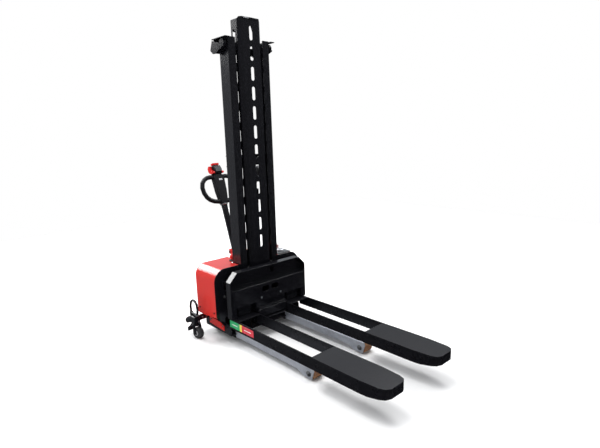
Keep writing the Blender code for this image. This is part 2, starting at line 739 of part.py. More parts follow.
def emergency_base():
    z = BODY_Z[1] + GAP
    profile = [(0.0, z), (0.026, z), (0.026, z + 0.004), (0.018, z + 0.007), (0.0135, z + 0.007),
               (0.0135, z + 0.003), (0.0, z + 0.003)]
    return lathe(profile, (*STOP_XY, 0.0), "z", 24)


# ---------------------------------------------------------------- legs
def support_leg():
    """Plated tube with the cheek plates that carry the load roller."""
    tube_part = box(LEG_X, (LEG_FRONT_Y, LEG_REAR_Y), LEG_Z)
    cheek = [(-0.535, 0.030), (-0.575, 0.008), (-0.640, 0.006), (-0.657, 0.060), (-0.652, 0.0765),
             (-0.535, 0.0765)]
    cheeks = [prism(cheek, "x", span) for span in ((0.163, 0.170), (0.240, 0.247))]
    leg = union(tube_part, *cheeks)
    pins = [cylinder((x, LOAD_ROLLER_Y, LOAD_ROLLER_RADIUS), 0.010, 0.006, "x", 16) for x in (0.162, 0.248)]
    return union(leg, *pins)


def load_roller():
    r = LOAD_ROLLER_RADIUS
    profile = [(0.0, 0.171), (0.012, 0.171), (0.012, 0.173), (r - 0.004, 0.173), (r, 0.177), (r, 0.233),
               (r - 0.004, 0.237), (0.012, 0.237), (0.012, 0.239), (0.0, 0.239)]
    return lathe(profile, (0.0, LOAD_ROLLER_Y, r), "x", 24)


# ---------------------------------------------------------------- drive unit and tiller
def drive_bracket():
    """Fork that holds the drive wheel under the turning ring."""
    top = lathe([(0.0, 0.190), (0.066, 0.190), (0.066, 0.204), (0.054, 0.206), (0.054, 0.222), (0.0, 0.222)],
                (0.0, STEER_Y, 0.0), "z", 32)
    legs = []
    for _, side in SIDES:
        outline = [(STEER_Y - 0.035, 0.198), (STEER_Y - 0.022, 0.075), (STEER_Y - 0.012, 0.062),
                   (STEER_Y + 0.012, 0.062), (STEER_Y + 0.022, 0.075), (STEER_Y + 0.035, 0.198)]
        legs.append(prism(outline, "x", (0.0375 * side, 0.0475 * side)))
    return union(top, *legs)


def drive_motor():
    base = 0.222 + GAP
    profile = [(0.0, base), (0.0540, base), (0.0540, 0.252), (0.050, 0.256), (0.050, 0.380), (0.044, 0.392),
               (0.028, 0.396), (0.028, 0.440), (0.0, 0.440)]
    return lathe(profile, (0.0, STEER_Y, 0.0), "z", 32)


def drive_tyre():
    r = DRIVE_RADIUS
    w = DRIVE_HALF_WIDTH
    profile = [(0.0603, -w + 0.004), (r - 0.004, -w + 0.002), (r, -w + 0.006), (r, w - 0.006),
               (r - 0.004, w - 0.002), (0.0603, w - 0.004)]
    return lathe(profile, (0.0, STEER_Y, r), "x", 40)


def drive_hub():
    w = DRIVE_HALF_WIDTH
    profile = [(0.0, -w - 0.002), (0.020, -w - 0.002), (0.020, -w + 0.008), (0.045, -w + 0.012),
               (0.052, -w + 0.005), (0.0600, -w + 0.005), (0.0600, w - 0.005), (0.052, w - 0.005),
               (0.045, w - 0.012), (0.020, w - 0.008), (0.020, w + 0.002), (0.0, w + 0.002)]
    return lathe(profile, (0.0, STEER_Y, DRIVE_RADIUS), "x", 24)


def steering_head():
    """Domed head on the steering column with two lugs for the tiller pivot."""
    profile = [(0.0, 0.4405), (0.070, 0.4405), (0.088, 0.446), (0.088, 0.474), (0.080, 0.490), (0.058, 0.500),
               (0.0, 0.504)]
    pivot = TILLER_PIVOT
    pocket = box((-0.0342, 0.0342), (0.334, 0.400), (0.452, 0.520))
    dome = cut(lathe(profile, (0.0, STEER_Y, 0.0), "z", 36), pocket)
    lugs = []
    for _, side in SIDES:
        outline = [(0.300, 0.450), (0.300, 0.498)] + arc((pivot.y, pivot.z), LUG_RADIUS, 90.0, -90.0, 8)
        outline += [(0.345, pivot.z - LUG_RADIUS), (0.345, 0.450)]
        lugs.append(prism(outline, "x", (0.0345 * side, 0.0445 * side)))
    return union(dome, *lugs)


def lean(mesh):
    """Tilt something drawn upright at the tiller pivot to the rest lean of the tiller."""
    return turned(mesh, -TILLER_LEAN, "X", TILLER_PIVOT)


def along(distance):
    """Height, before leaning, of a point this far up the tiller."""
    return TILLER_PIVOT.z + distance


def tiller_arm():
    """Steel arm with an eye at the pivot and a wider socket at the top."""
    y = TILLER_PIVOT.y
    eye = cylinder(TILLER_PIVOT, LUG_RADIUS - 0.0005, 0.066, "x", 24)
    outline = [(-0.019, y - 0.013), (0.019, y - 0.013), (0.019, y + 0.013), (-0.019, y + 0.013)]
    post = prism(rounded(outline, 0.006, 3), "z", (along(0.0), along(HANDLE_S[0] - GAP)))
    return lean(union(eye, post))


def loop_path(side):
    """Centre line of the handle loop on one side, drawn before leaning."""
    right = [(0.030, 0.527), (0.062, 0.530), (0.088, 0.526), (0.110, 0.515), (0.129, 0.494), (0.138, 0.462),
             (0.134, 0.425), (0.120, 0.394), (0.099, 0.373), (0.070, 0.360), (0.026, 0.352)]
    return [(x * side, TILLER_PIVOT.y, along(s)) for x, s in right]


def tiller_handle():
    """One moulding: broad column above the arm with a closed grip loop on each side."""
    y = TILLER_PIVOT.y
    foot, crown = along(HANDLE_S[0]), along(HANDLE_S[1])
    right = [(0.022, foot), (0.031, foot + 0.035), (0.038, foot + 0.090), (0.042, crown - 0.014),
             (0.027, crown - 0.007), (0.025, crown)]
    outline = right + [(-x, z) for x, z in reversed(right)]
    body = prism([(z, x) for x, z in outline], "y", (y - 0.020, y + 0.020))
    body = bevelled(body, 0.006, 25.0, 2)
    for _, side in SIDES:
        body = union(body, tube(loop_path(side), 0.0155, segments=12))
    return lean(body)


def control_head():
    """Housing for the throttle and the buttons."""
    y = TILLER_PIVOT.y
    base = along(HEAD_S)
    side_view = [(y - 0.026, base), (y + 0.026, base), (y + 0.034, base + 0.019), (y + 0.018, base + 0.057),
                 (y - 0.020, base + 0.057), (y - 0.034, base + 0.028)]
    head = bevelled(prism(side_view, "x", (-HEAD_HALF, HEAD_HALF)), 0.004, 25.0, 2)
    pockets = merged([cylinder((x, y + 0.039, along(BUTTON_S)), BUTTON_RADIUS + 0.0005, 0.022, "y", 16)
                      for x in BUTTON_X])
    return lean(cut(head, pockets))


def throttle_wing():
    """One thumb paddle of the butterfly throttle."""
    y = TILLER_PIVOT.y
    base = along(HEAD_S)
    outline = [(y - 0.030, base + 0.004), (y - 0.004, base + 0.001), (y + 0.018, base + 0.007),
               (y + 0.034, base + 0.026), (y + 0.034, base + 0.048), (y + 0.018, base + 0.062),
               (y + 0.002, base + 0.058), (y + 0.001, base + 0.036), (y - 0.010, base + 0.020),
               (y - 0.028, base + 0.014)]
    return lean(bevelled(prism(outline, "x", (HEAD_HALF + 0.0008, 0.044)), 0.003, 25.0, 2))


def reverse_button():
    """Red safety button on the crown of the head."""
    y = TILLER_PIVOT.y
    base = along(HEAD_S)
    outline = [(-0.026, y - 0.018), (0.026, y - 0.018), (0.026, y + 0.014), (-0.026, y + 0.014)]
    button = prism(rounded(outline, 0.008, 3), "z", (base + 0.062, base + 0.075))
    return lean(bevelled(button, 0.002, 60.0))


def thumb_button(x):
    """Small press button in a pocket on the operator face of the head."""
    button = cylinder((x, TILLER_PIVOT.y + 0.0365, along(BUTTON_S)), BUTTON_RADIUS, 0.008, "y", 16)
    return lean(button)


# ---------------------------------------------------------------- stabiliser casters
def caster_bracket():
    """Arm bolted to the base, ending in the block that holds the caster."""
    x, y = CASTER_X, CASTER_Y
    arm = box((BASE_HALF + GAP, x - 0.005), (y - 0.003, y + 0.015), (0.106, 0.138))
    flange = box((BASE_HALF + GAP, BASE_HALF + 0.006), (y - 0.004, y + 0.038), (0.100, 0.1425))
    block = bevelled(box((x - 0.021, x + 0.021), (y - 0.028, y + 0.030), (0.0985, 0.147)), 0.003)
    return union(block, arm, flange)


def caster_lever():
    """Closed hand loop above the block, joined behind it to a foot pedal."""
    x, y = CASTER_X, CASTER_Y
    loop = [(x, y - 0.032, 0.160), (x, y - 0.038, 0.195), (x, y - 0.032, 0.228), (x, y - 0.012, 0.246),
            (x, y + 0.014, 0.249), (x, y + 0.038, 0.232), (x, y + 0.048, 0.200), (x, y + 0.046, 0.166),
            (x, y + 0.036, 0.158), (x, y, 0.157)]
    bar = tube(loop, 0.0075, closed=True, segments=10)
    hanger = prism([(y + 0.036, 0.166), (y + 0.034, 0.112), (y + 0.044, 0.104), (y + 0.050, 0.166)],
                   "x", (x - 0.010, x + 0.010))
    pedal = prism([(y + 0.036, 0.120), (y + 0.050, 0.090), (y + 0.086, 0.078), (y + 0.102, 0.086),
                   (y + 0.098, 0.106), (y + 0.066, 0.128)], "x", (x - 0.018, x + 0.018))
    return union(bar, hanger, bevelled(pedal, 0.004, 30.0))


def caster_yoke():
    """Swivelling fork over the caster wheel with a brake tab behind."""
    x, y = CASTER_X, CASTER_Y
    head = cylinder((x, y, 0.0945), 0.021, 0.0070, "z", 24)
    crown = cylinder((x, y, 0.0885), 0.033, 0.0070, "z", 24)
    axle_y = y - CASTER_TRAIL
    cheek = [(y + 0.014, 0.090), (y - 0.022, 0.090), (axle_y - 0.009, 0.030), (axle_y + 0.009, 0.030)]
    cheeks = [prism(cheek, "x", (x + a, x + b)) for a, b in ((-0.0255, -0.0215), (0.0215, 0.0255))]
    tab = prism([(y + 0.020, 0.0915), (y + 0.020, 0.0855), (y + 0.036, 0.044), (y + 0.058, 0.036),
                 (y + 0.060, 0.058), (y + 0.046, 0.070)], "x", (x - 0.020, x + 0.020))
    return turned(union(crown, head, *cheeks, tab), CASTER_TURN, "Z", (x, y, 0.0))


def caster_wheel():
    r = CASTER_RADIUS
    x, y = CASTER_X, CASTER_Y
    profile = [(0.0, -0.0212), (0.010, -0.0212), (0.010, -0.018), (r - 0.005, -0.018), (r, -0.013),
               (r, 0.013), (r - 0.005, 0.018), (0.010, 0.018), (0.010, 0.0212), (0.0, 0.0212)]
    wheel = lathe(profile, (x, y - CASTER_TRAIL, r), "x", 24)
    return turned(wheel, CASTER_TURN, "Z", (x, y, 0.0))


# ---------------------------------------------------------------- assembly
# finish: linear base colour, roughness, metallic
FINISHES = {
    "black_paint": ((0.012, 0.012, 0.014), 0.35, 0.0),
    "red_paint": ((0.620, 0.035, 0.026), 0.30, 0.0),
    "zinc_plate": ((0.560, 0.580, 0.610), 0.35, 1.0),
    "steel": ((0.420, 0.420, 0.430), 0.30, 1.0),
    "chrome": ((0.750, 0.750, 0.760), 0.10, 1.0),
    "aluminium": ((0.600, 0.600, 0.620), 0.40, 1.0),
    "motor_enamel": ((0.090, 0.100, 0.110), 0.45, 0.0),
    "black_plastic": ((0.020, 0.020, 0.022), 0.50, 0.0),
    "grey_plastic": ((0.180, 0.190, 0.200), 0.45, 0.0),
    "clear_tank": ((0.620, 0.610, 0.560), 0.40, 0.0),
    "red_plastic": ((0.600, 0.020, 0.018), 0.35, 0.0),
    "wheel_rubber": ((0.015, 0.015, 0.016), 0.70, 0.0),
    "polyurethane": ((0.230, 0.120, 0.060), 0.50, 0.0),
}

ON_FLOOR = (0.0, 0.0, 0.0)
STEER_AXIS = (0.0, STEER_Y, 0.0)
DRIVE_AXLE = (0.0, STEER_Y, DRIVE_RADIUS)
THROTTLE_AXLE = TILLER_PIVOT + Vector((0.0, math.sin(TILLER_LEAN), math.cos(TILLER_LEAN))) * (HEAD_S + 0.032)
SWIVEL_AXIS = (CASTER_X, CASTER_Y, 0.0)

# name: (maker, finish, origin measured from the heel plane)
SINGLE_PARTS = {
    "carriage_frame": (carriage_frame, "black_paint", ON_FLOOR),
    "mast_top_tie": (top_tie, "black_paint", ON_FLOOR),
    "mast_middle_tie": (lambda: cross_tie(1.080, 1.150), "black_paint", ON_FLOOR),
    "mast_bottom_tie": (lambda: cross_tie(0.330, 0.400), "black_paint", ON_FLOOR),
    "mast_guard": (mast_guard, "black_paint", ON_FLOOR),
    "cylinder_barrel": (cylinder_barrel, "black_paint", ON_FLOOR),
    "piston_rod": (piston_rod, "chrome", ON_FLOOR),
    "front_plate": (front_plate, "black_paint", ON_FLOOR),
    "body_cover": (body_cover, "red_paint", ON_FLOOR),
    "base_frame": (base_frame, "black_paint", ON_FLOOR),
    "drive_arch": (drive_arch, "black_paint", ON_FLOOR),
    "battery": (battery, "black_plastic", ON_FLOOR),
    "oil_tank": (oil_tank, "clear_tank", ON_FLOOR),
    "pump_motor": (pump_motor, "motor_enamel", ON_FLOOR),
    "controller": (controller, "aluminium", ON_FLOOR),
    "instrument_panel": (instrument_panel, "grey_plastic", ON_FLOOR),
    "battery_gauge": (battery_gauge, "aluminium", ON_FLOOR),
    "key_switch": (key_switch, "steel", (*KEY_XY, 0.0)),
    "emergency_stop": (emergency_stop, "red_plastic", (*STOP_XY, 0.0)),
    "emergency_base": (emergency_base, "black_plastic", ON_FLOOR),
    "drive_bracket": (drive_bracket, "black_paint", STEER_AXIS),
    "drive_motor": (drive_motor, "motor_enamel", STEER_AXIS),
    "drive_tyre": (drive_tyre, "polyurethane", DRIVE_AXLE),
    "drive_hub": (drive_hub, "aluminium", DRIVE_AXLE),
    "steering_head": (steering_head, "red_plastic", STEER_AXIS),
    "tiller_arm": (tiller_arm, "black_paint", TILLER_PIVOT),
    "tiller_handle": (tiller_handle, "black_plastic", TILLER_PIVOT),
    "control_head": (control_head, "black_plastic", TILLER_PIVOT),
    "reverse_button": (reverse_button, "red_plastic", TILLER_PIVOT),
    "lift_button": (lambda: thumb_button(BUTTON_X[0]), "grey_plastic", TILLER_PIVOT),
    "lower_button": (lambda: thumb_button(BUTTON_X[2]), "grey_plastic", TILLER_PIVOT),
    "horn_button": (lambda: thumb_button(BUTTON_X[1]), "grey_plastic", TILLER_PIVOT),
}

# the same for the right one of each pair
PAIRED_PARTS = {
    "fork": (fork, "black_paint", ON_FLOOR),
    "roller_bracket": (roller_bracket, "black_paint", ON_FLOOR),
    "lower_roller": (lambda: mast_roller(ROLLER_Z[0]), "steel", (ROLLER_X, ROLLER_Y, ROLLER_Z[0])),
    "upper_roller": (lambda: mast_roller(ROLLER_Z[1]), "steel", (ROLLER_X, ROLLER_Y, ROLLER_Z[1])),
    "mast_upright": (upright, "black_paint", ON_FLOOR),
    "chain_pulley": (chain_pulley, "steel", (PULLEY_X, CYLINDER_Y, PULLEY_Z)),
    "side_panel": (side_panel, "red_paint", ON_FLOOR),
    "support_leg": (support_leg, "zinc_plate", ON_FLOOR),
    "load_roller": (load_roller, "polyurethane", (sum(LEG_X) / 2, LOAD_ROLLER_Y, LOAD_ROLLER_RADIUS)),
    "throttle_wing": (throttle_wing, "red_plastic", THROTTLE_AXLE),
    "caster_bracket": (caster_bracket, "black_paint", ON_FLOOR),
    "caster_lever": (caster_lever, "black_paint", (CASTER_X, CASTER_Y - 0.028, 0.157)),
    "caster_yoke": (caster_yoke, "black_paint", SWIVEL_AXIS),
    "caster_wheel": (caster_wheel, "wheel_rubber", SWIVEL_AXIS),
}


def main():
    for thing in list(bpy.data.objects):
        bpy.data.objects.remove(thing)
    stacker = bpy.data.collections.new("walkie_stacker")
    bpy.context.scene.collection.children.link(stacker)
    for name, (make, finish, origin) in SINGLE_PARTS.items():
        add_node(stacker, name, make(), finish, origin)
    for name, (make, finish, origin) in PAIRED_PARTS.items():
        for label, side in SIDES:
            place = (origin[0] * side, origin[1], origin[2])
            add_node(stacker, name + "_" + label, mirrored(make(), side), finish, place)


main()
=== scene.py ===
"""Looks of the self-loading walkie stacker: finishes, fine surface detail, studio and camera.

Every piece is made from, or placed by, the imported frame's own nodes and joints.
Lengths are in metres, +Z is up and the forks point to -Y.
"""

import json
import math

import bmesh
import bpy
from mathutils import Matrix, Vector


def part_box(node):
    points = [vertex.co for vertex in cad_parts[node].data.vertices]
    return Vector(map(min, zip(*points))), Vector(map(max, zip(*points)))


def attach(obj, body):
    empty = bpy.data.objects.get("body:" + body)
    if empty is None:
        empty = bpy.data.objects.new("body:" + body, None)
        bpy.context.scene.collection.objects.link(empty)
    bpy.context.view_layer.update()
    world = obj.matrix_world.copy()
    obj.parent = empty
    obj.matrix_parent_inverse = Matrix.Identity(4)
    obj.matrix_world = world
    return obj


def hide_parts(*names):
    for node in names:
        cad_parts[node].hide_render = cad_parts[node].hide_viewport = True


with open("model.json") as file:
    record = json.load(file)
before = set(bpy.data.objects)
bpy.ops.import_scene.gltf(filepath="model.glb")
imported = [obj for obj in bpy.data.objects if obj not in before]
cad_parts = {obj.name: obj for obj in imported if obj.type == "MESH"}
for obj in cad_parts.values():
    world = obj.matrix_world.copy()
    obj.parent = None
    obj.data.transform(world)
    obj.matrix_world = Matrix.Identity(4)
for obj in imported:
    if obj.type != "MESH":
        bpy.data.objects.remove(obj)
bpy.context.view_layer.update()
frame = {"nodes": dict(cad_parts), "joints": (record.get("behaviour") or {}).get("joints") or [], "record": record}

NODES = frame["nodes"]
JOINTS = {joint["name"]: joint for joint in frame["joints"]}
BODY_OF = {node: body for body, members in frame["record"]["behaviour"]["bodies"].items() for node in members}
SLOT_OF = {part["node"]: part["material_slot"] for part in frame["record"]["subparts"]}
SIDES = (("left", -1.0), ("right", 1.0))
UP = Vector((0.0, 0.0, 1.0))
FORWARD = Vector((0.0, -1.0, 0.0))
BACKWARD = Vector((0.0, 1.0, 0.0))
WELD_DISTANCE = 1e-5
FLAT_ANGLE = math.radians(0.6)
SHARP_ANGLE = math.radians(32.0)
ROUNDED_ANGLE = math.radians(38.0)
FILM_EDGE = 0.0002  # widths of the rounding on edges, from stickers to thick plate
BADGE_EDGE = 0.0004
FACE_EDGE = 0.0005
FINE_EDGE = 0.0006
LIP_EDGE = 0.0009
SHEET_EDGE = 0.0012
HEAVY_EDGE = 0.0018


# ---------------------------------------------------------------- materials
class Finish:
    """A Principled material whose colour, roughness and relief come from procedural textures."""

    def __init__(self, name, color, roughness, metallic=0.0, specular=0.5):
        self.material = bpy.data.materials.new(name)
        self.material.use_nodes = True
        self.nodes = self.material.node_tree.nodes
        self.links = self.material.node_tree.links
        self.shader = self.nodes["Principled BSDF"]
        self.shader.inputs["Metallic"].default_value = metallic
        self.shader.inputs["Specular IOR Level"].default_value = specular
        self.place = self.nodes.new("ShaderNodeTexCoord").outputs["Object"]
        self.color = self.constant_color(color)
        self.roughness = self.constant(roughness)
        self.height = None

    def constant(self, value):
        """A socket that gives one number."""
        node = self.nodes.new("ShaderNodeValue")
        node.outputs[0].default_value = value
        return node.outputs[0]

    def constant_color(self, color):
        """A socket that gives one colour."""
        node = self.nodes.new("ShaderNodeRGB")
        node.outputs[0].default_value = (*color, 1.0)
        return node.outputs[0]

    def stretched(self, stretch):
        """The piece's own coordinates, scaled along each axis."""
        mapping = self.nodes.new("ShaderNodeMapping")
        mapping.inputs["Scale"].default_value = stretch
        self.links.new(self.place, mapping.inputs["Vector"])
        return mapping.outputs["Vector"]

    def noise(self, scale, detail=3.0, stretch=(1.0, 1.0, 1.0)):
        """Cloudy noise from 0 to 1; scale is in cycles per metre."""
        node = self.nodes.new("ShaderNodeTexNoise")
        node.inputs["Scale"].default_value = scale
        node.inputs["Detail"].default_value = detail
        self.links.new(self.stretched(stretch), node.inputs["Vector"])
        return node.outputs["Fac"]

    def cells(self, scale, output="Distance"):
        """Cell pattern, as the distance to the cell's middle or as its random colour."""
        node = self.nodes.new("ShaderNodeTexVoronoi")
        node.inputs["Scale"].default_value = scale
        self.links.new(self.place, node.inputs["Vector"])
        return node.outputs[output]

    def remap(self, value, low, high, to_low=0.0, to_high=1.0):
        """Maps low to to_low and high to to_high, and holds the value beyond them."""
        node = self.nodes.new("ShaderNodeMapRange")
        for socket, number in zip(node.inputs[1:5], (low, high, to_low, to_high)):
            socket.default_value = number
        self.links.new(value, node.inputs[0])
        return node.outputs[0]

    def math(self, operation, first, second):
        """Joins two sockets or numbers by a math operation."""
        node = self.nodes.new("ShaderNodeMath")
        node.operation = operation
        for socket, value in zip(node.inputs, (first, second)):
            if isinstance(value, float):
                socket.default_value = value
            else:
                self.links.new(value, socket)
        return node.outputs[0]

    def tint(self, factor, color):
        """Lays a colour over the surface where factor is high."""
        node = self.nodes.new("ShaderNodeMix")
        node.data_type = "RGBA"
        self.links.new(factor, node.inputs["Factor"])
        self.links.new(self.color, node.inputs[6])
        node.inputs[7].default_value = (*color, 1.0)
        self.color = node.outputs[2]

    def roughen(self, factor, amount):
        """Adds amount of roughness where factor is high."""
        self.roughness = self.math("ADD", self.roughness, self.math("MULTIPLY", factor, amount))

    def relief(self, value, strength, distance):
        """Adds fine bumps; distance is their full height."""
        node = self.nodes.new("ShaderNodeBump")
        node.inputs["Strength"].default_value = strength
        node.inputs["Distance"].default_value = distance
        self.links.new(value, node.inputs["Height"])
        if self.height is not None:
            self.links.new(self.height, node.inputs["Normal"])
        self.height = node.outputs["Normal"]

    def patches(self, scale, detail, start, end, amount, color):
        """Lays a colour over patches of noise; amount is how strongly the patches show."""
        self.tint(self.remap(self.noise(scale, detail), start, end, 0.0, amount), color)

    def edges(self):
        """High on outer edges, from the surface's own curvature."""
        node = self.nodes.new("ShaderNodeNewGeometry")
        return self.remap(node.outputs["Pointiness"], 0.53, 0.62)

    def facing_up(self):
        """High on faces that point up."""
        node = self.nodes.new("ShaderNodeNewGeometry")
        split = self.nodes.new("ShaderNodeSeparateXYZ")
        self.links.new(node.outputs["Normal"], split.inputs[0])
        return self.remap(split.outputs["Z"], 0.80, 0.98)

    def done(self):
        """Joins the layers to the shader and gives the finished material."""
        self.links.new(self.color, self.shader.inputs["Base Color"])
        self.links.new(self.roughness, self.shader.inputs["Roughness"])
        if self.height is not None:
            self.links.new(self.height, self.shader.inputs["Normal"])
        return self.material


def powder_black(name, roughness=0.14, dust=0.05, specular=0.5):
    """Black powder coat: fine orange peel, rubbed edges, some dust on upward faces."""
    finish = Finish(name, (0.0048, 0.0048, 0.0066), roughness, specular=specular)
    finish.patches(7.0, 5.0, 0.45, 0.75, 0.5, (0.0060, 0.0060, 0.0078))
    finish.tint(finish.math("MULTIPLY", finish.facing_up(), dust), (0.030, 0.030, 0.034))
    worn = finish.math("MULTIPLY", finish.edges(), finish.remap(finish.noise(60.0), 0.45, 0.65))
    finish.tint(finish.math("MULTIPLY", worn, 0.25), (0.05, 0.05, 0.055))
    finish.roughen(finish.noise(18.0, 6.0), 0.08)
    finish.roughen(finish.facing_up(), dust)
    finish.relief(finish.noise(620.0, 2.0), 0.10, 0.0004)
    return finish.done()


def gloss_red(name):
    """Gloss red paint with a thin clear coat, faint orange peel and paler edges."""
    finish = Finish(name, (0.560, 0.026, 0.020), 0.20, specular=0.32)
    finish.patches(5.0, 4.0, 0.40, 0.70, 0.12, (0.500, 0.020, 0.015))
    finish.tint(finish.math("MULTIPLY", finish.edges(), 0.15), (0.72, 0.06, 0.05))
    finish.roughen(finish.noise(30.0, 5.0), 0.03)
    finish.relief(finish.noise(420.0, 2.0), 0.03, 0.0003)
    finish.shader.inputs["Coat Weight"].default_value = 0.12
    finish.shader.inputs["Coat Roughness"].default_value = 0.12
    return finish.done()


def zinc(name):
    """Bright zinc plate drawn along the tube, bluish, with faint crystals."""
    finish = Finish(name, (0.80, 0.83, 0.90), 0.34, metallic=0.70)
    finish.tint(finish.remap(finish.cells(120.0, "Color"), 0.2, 0.9, 0.0, 0.35), (0.68, 0.71, 0.79))
    finish.patches(9.0, 6.0, 0.52, 0.75, 0.4, (0.34, 0.35, 0.40))
    finish.roughen(finish.noise(40.0, 5.0, (9.0, 0.5, 9.0)), 0.20)
    finish.relief(finish.noise(30.0, 4.0, (12.0, 0.4, 12.0)), 0.12, 0.0003)
    return finish.done()


def turned_steel(name):
    """Machined steel with fine turning marks and a film of oil."""
    finish = Finish(name, (0.40, 0.40, 0.41), 0.28, metallic=1.0)
    finish.patches(25.0, 6.0, 0.50, 0.75, 0.5, (0.24, 0.23, 0.22))
    finish.roughen(finish.noise(260.0, 3.0, (6.0, 1.0, 1.0)), 0.16)
    finish.relief(finish.noise(500.0, 2.0, (8.0, 1.0, 1.0)), 0.08, 0.0002)
    return finish.done()


def hard_chrome(name):
    """Polished chrome with faint drawing marks along the rod."""
    finish = Finish(name, (0.76, 0.77, 0.79), 0.07, metallic=1.0)
    finish.roughen(finish.noise(300.0, 3.0, (1.0, 1.0, 0.1)), 0.06)
    finish.relief(finish.noise(400.0, 2.0, (1.0, 1.0, 6.0)), 0.02, 0.0002)
    return finish.done()


def cast_aluminium(name):
    """Dull cast aluminium with darker patches of skin."""
    finish = Finish(name, (0.72, 0.72, 0.74), 0.36, metallic=0.7)
    finish.patches(40.0, 5.0, 0.48, 0.72, 0.4, (0.52, 0.52, 0.54))
    finish.roughen(finish.noise(120.0, 4.0), 0.18)
    finish.relief(finish.noise(420.0, 3.0), 0.14, 0.0004)
    return finish.done()


def enamel(name):
    """Dark grey motor enamel, slightly dusty."""
    finish = Finish(name, (0.085, 0.095, 0.105), 0.42)
    finish.patches(14.0, 6.0, 0.50, 0.75, 0.5, (0.05, 0.055, 0.06))
    finish.roughen(finish.noise(60.0, 4.0), 0.14)
    finish.relief(finish.noise(300.0, 3.0), 0.10, 0.0004)
    return finish.done()


def moulded_plastic(name, color, roughness, grain=0.16):
    """Injection-moulded plastic with a fine spark-eroded grain."""
    finish = Finish(name, color, roughness, specular=0.20)
    lighter = tuple(min(1.0, channel * 1.35 + 0.004) for channel in color)
    finish.patches(16.0, 4.0, 0.45, 0.75, 0.4, lighter)
    finish.tint(finish.math("MULTIPLY", finish.edges(), 0.25), lighter)
    finish.roughen(finish.noise(80.0, 4.0), 0.10)
    finish.relief(finish.cells(1500.0), grain, 0.0003)
    return finish.done()


def tank_plastic(name):
    """Milky plastic, yellowed by the oil behind it."""
    finish = Finish(name, (0.60, 0.59, 0.53), 0.34)
    finish.patches(12.0, 4.0, 0.45, 0.75, 0.5, (0.46, 0.42, 0.30))
    finish.roughen(finish.noise(70.0, 4.0), 0.12)
    finish.relief(finish.noise(240.0, 3.0), 0.08, 0.0004)
    finish.shader.inputs["Subsurface Weight"].default_value = 0.25
    return finish.done()


def rubber(name):
    """Worn black rubber."""
    finish = Finish(name, (0.030, 0.030, 0.032), 0.62, specular=0.35)
    finish.patches(28.0, 6.0, 0.48, 0.72, 0.6, (0.060, 0.058, 0.056))
    finish.roughen(finish.noise(90.0, 4.0), 0.16)
    finish.relief(finish.noise(520.0, 4.0), 0.22, 0.0005)
    return finish.done()


def polyurethane(name):
    """Brown polyurethane tread, darkened by floor dirt."""
    finish = Finish(name, (0.26, 0.125, 0.055), 0.38)
    finish.patches(30.0, 6.0, 0.46, 0.72, 0.7, (0.10, 0.055, 0.035))
    finish.roughen(finish.noise(110.0, 4.0), 0.20)
    finish.relief(finish.noise(420.0, 3.0), 0.14, 0.0004)
    finish.shader.inputs["Subsurface Weight"].default_value = 0.10
    return finish.done()


def printed_film(name, color):
    """Thin printed sticker."""
    finish = Finish(name, color, 0.32)
    finish.patches(50.0, 5.0, 0.50, 0.80, 0.25, (0.5, 0.5, 0.5))
    finish.roughen(finish.noise(90.0, 3.0), 0.10)
    finish.relief(finish.noise(300.0, 2.0), 0.04, 0.0003)
    return finish.done()


FINISHES = {
    "black_paint": powder_black("black_paint"),
    "red_paint": gloss_red("red_paint"),
    "zinc_plate": zinc("zinc_plate"),
    "steel": turned_steel("steel"),
    "chrome": hard_chrome("chrome"),
    "aluminium": cast_aluminium("aluminium"),
    "motor_enamel": enamel("motor_enamel"),
    "black_plastic": moulded_plastic("black_plastic", (0.007, 0.007, 0.009), 0.40),
    "grey_plastic": moulded_plastic("grey_plastic", (0.085, 0.09, 0.095), 0.40),
    "clear_tank": tank_plastic("clear_tank"),
    "red_plastic": moulded_plastic("red_plastic", (0.60, 0.016, 0.014), 0.26, 0.05),
    "wheel_rubber": rubber("wheel_rubber"),
    "polyurethane": polyurethane("polyurethane"),
}
FORK_PAINT = powder_black("fork_paint", 0.24, 0.03, 0.25)
CARRIAGE_PAINT = powder_black("carriage_paint", 0.14, 0.02, 0.38)
DULL_PAINT = powder_black("dull_paint", 0.15, 0.03, 0.15)
OWN_PAINT = {
    "fork_left": FORK_PAINT, "fork_right": FORK_PAINT, "carriage_frame": CARRIAGE_PAINT,
    "roller_bracket_left": DULL_PAINT, "roller_bracket_right": DULL_PAINT, "mast_top_tie": DULL_PAINT,
}


# ---------------------------------------------------------------- mesh tools
def welded(node):
    """A CAD node's surface as one closed mesh whose flat regions are whole faces."""
    mesh = bmesh.new()
    mesh.from_mesh(NODES[node].data)
    bmesh.ops.remove_doubles(mesh, verts=mesh.verts, dist=WELD_DISTANCE)
    bmesh.ops.dissolve_limit(mesh, angle_limit=FLAT_ANGLE, verts=mesh.verts, edges=mesh.edges)
    return mesh


def add_piece(name, mesh, body, slot, material=None, stands_for=()):
    """Turns a mesh into a named piece that rides on a body."""
    data = bpy.data.meshes.new(name)
    mesh.to_mesh(data)
    mesh.free()
    data.shade_smooth()
    data.set_sharp_from_angle(angle=SHARP_ANGLE)
    data.materials.append(material or FINISHES[slot])
    piece = bpy.data.objects.new(name, data)
    bpy.context.scene.collection.objects.link(piece)
    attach(piece, body)
    if stands_for:
        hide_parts(*stands_for)
    return piece


def round_edges(piece, width, segments=2):
    """Rounds a piece's sharp edges, which is where sheet metal and mouldings catch the light."""
    bevel = piece.modifiers.new("rounded_edges", "BEVEL")
    bevel.width = width
    bevel.segments = segments
    bevel.limit_method = "ANGLE"
    bevel.angle_limit = ROUNDED_ANGLE
    bevel.use_clamp_overlap = True
    bevel.harden_normals = False
    normals = piece.modifiers.new("even_shading", "WEIGHTED_NORMAL")
    normals.keep_sharp = True


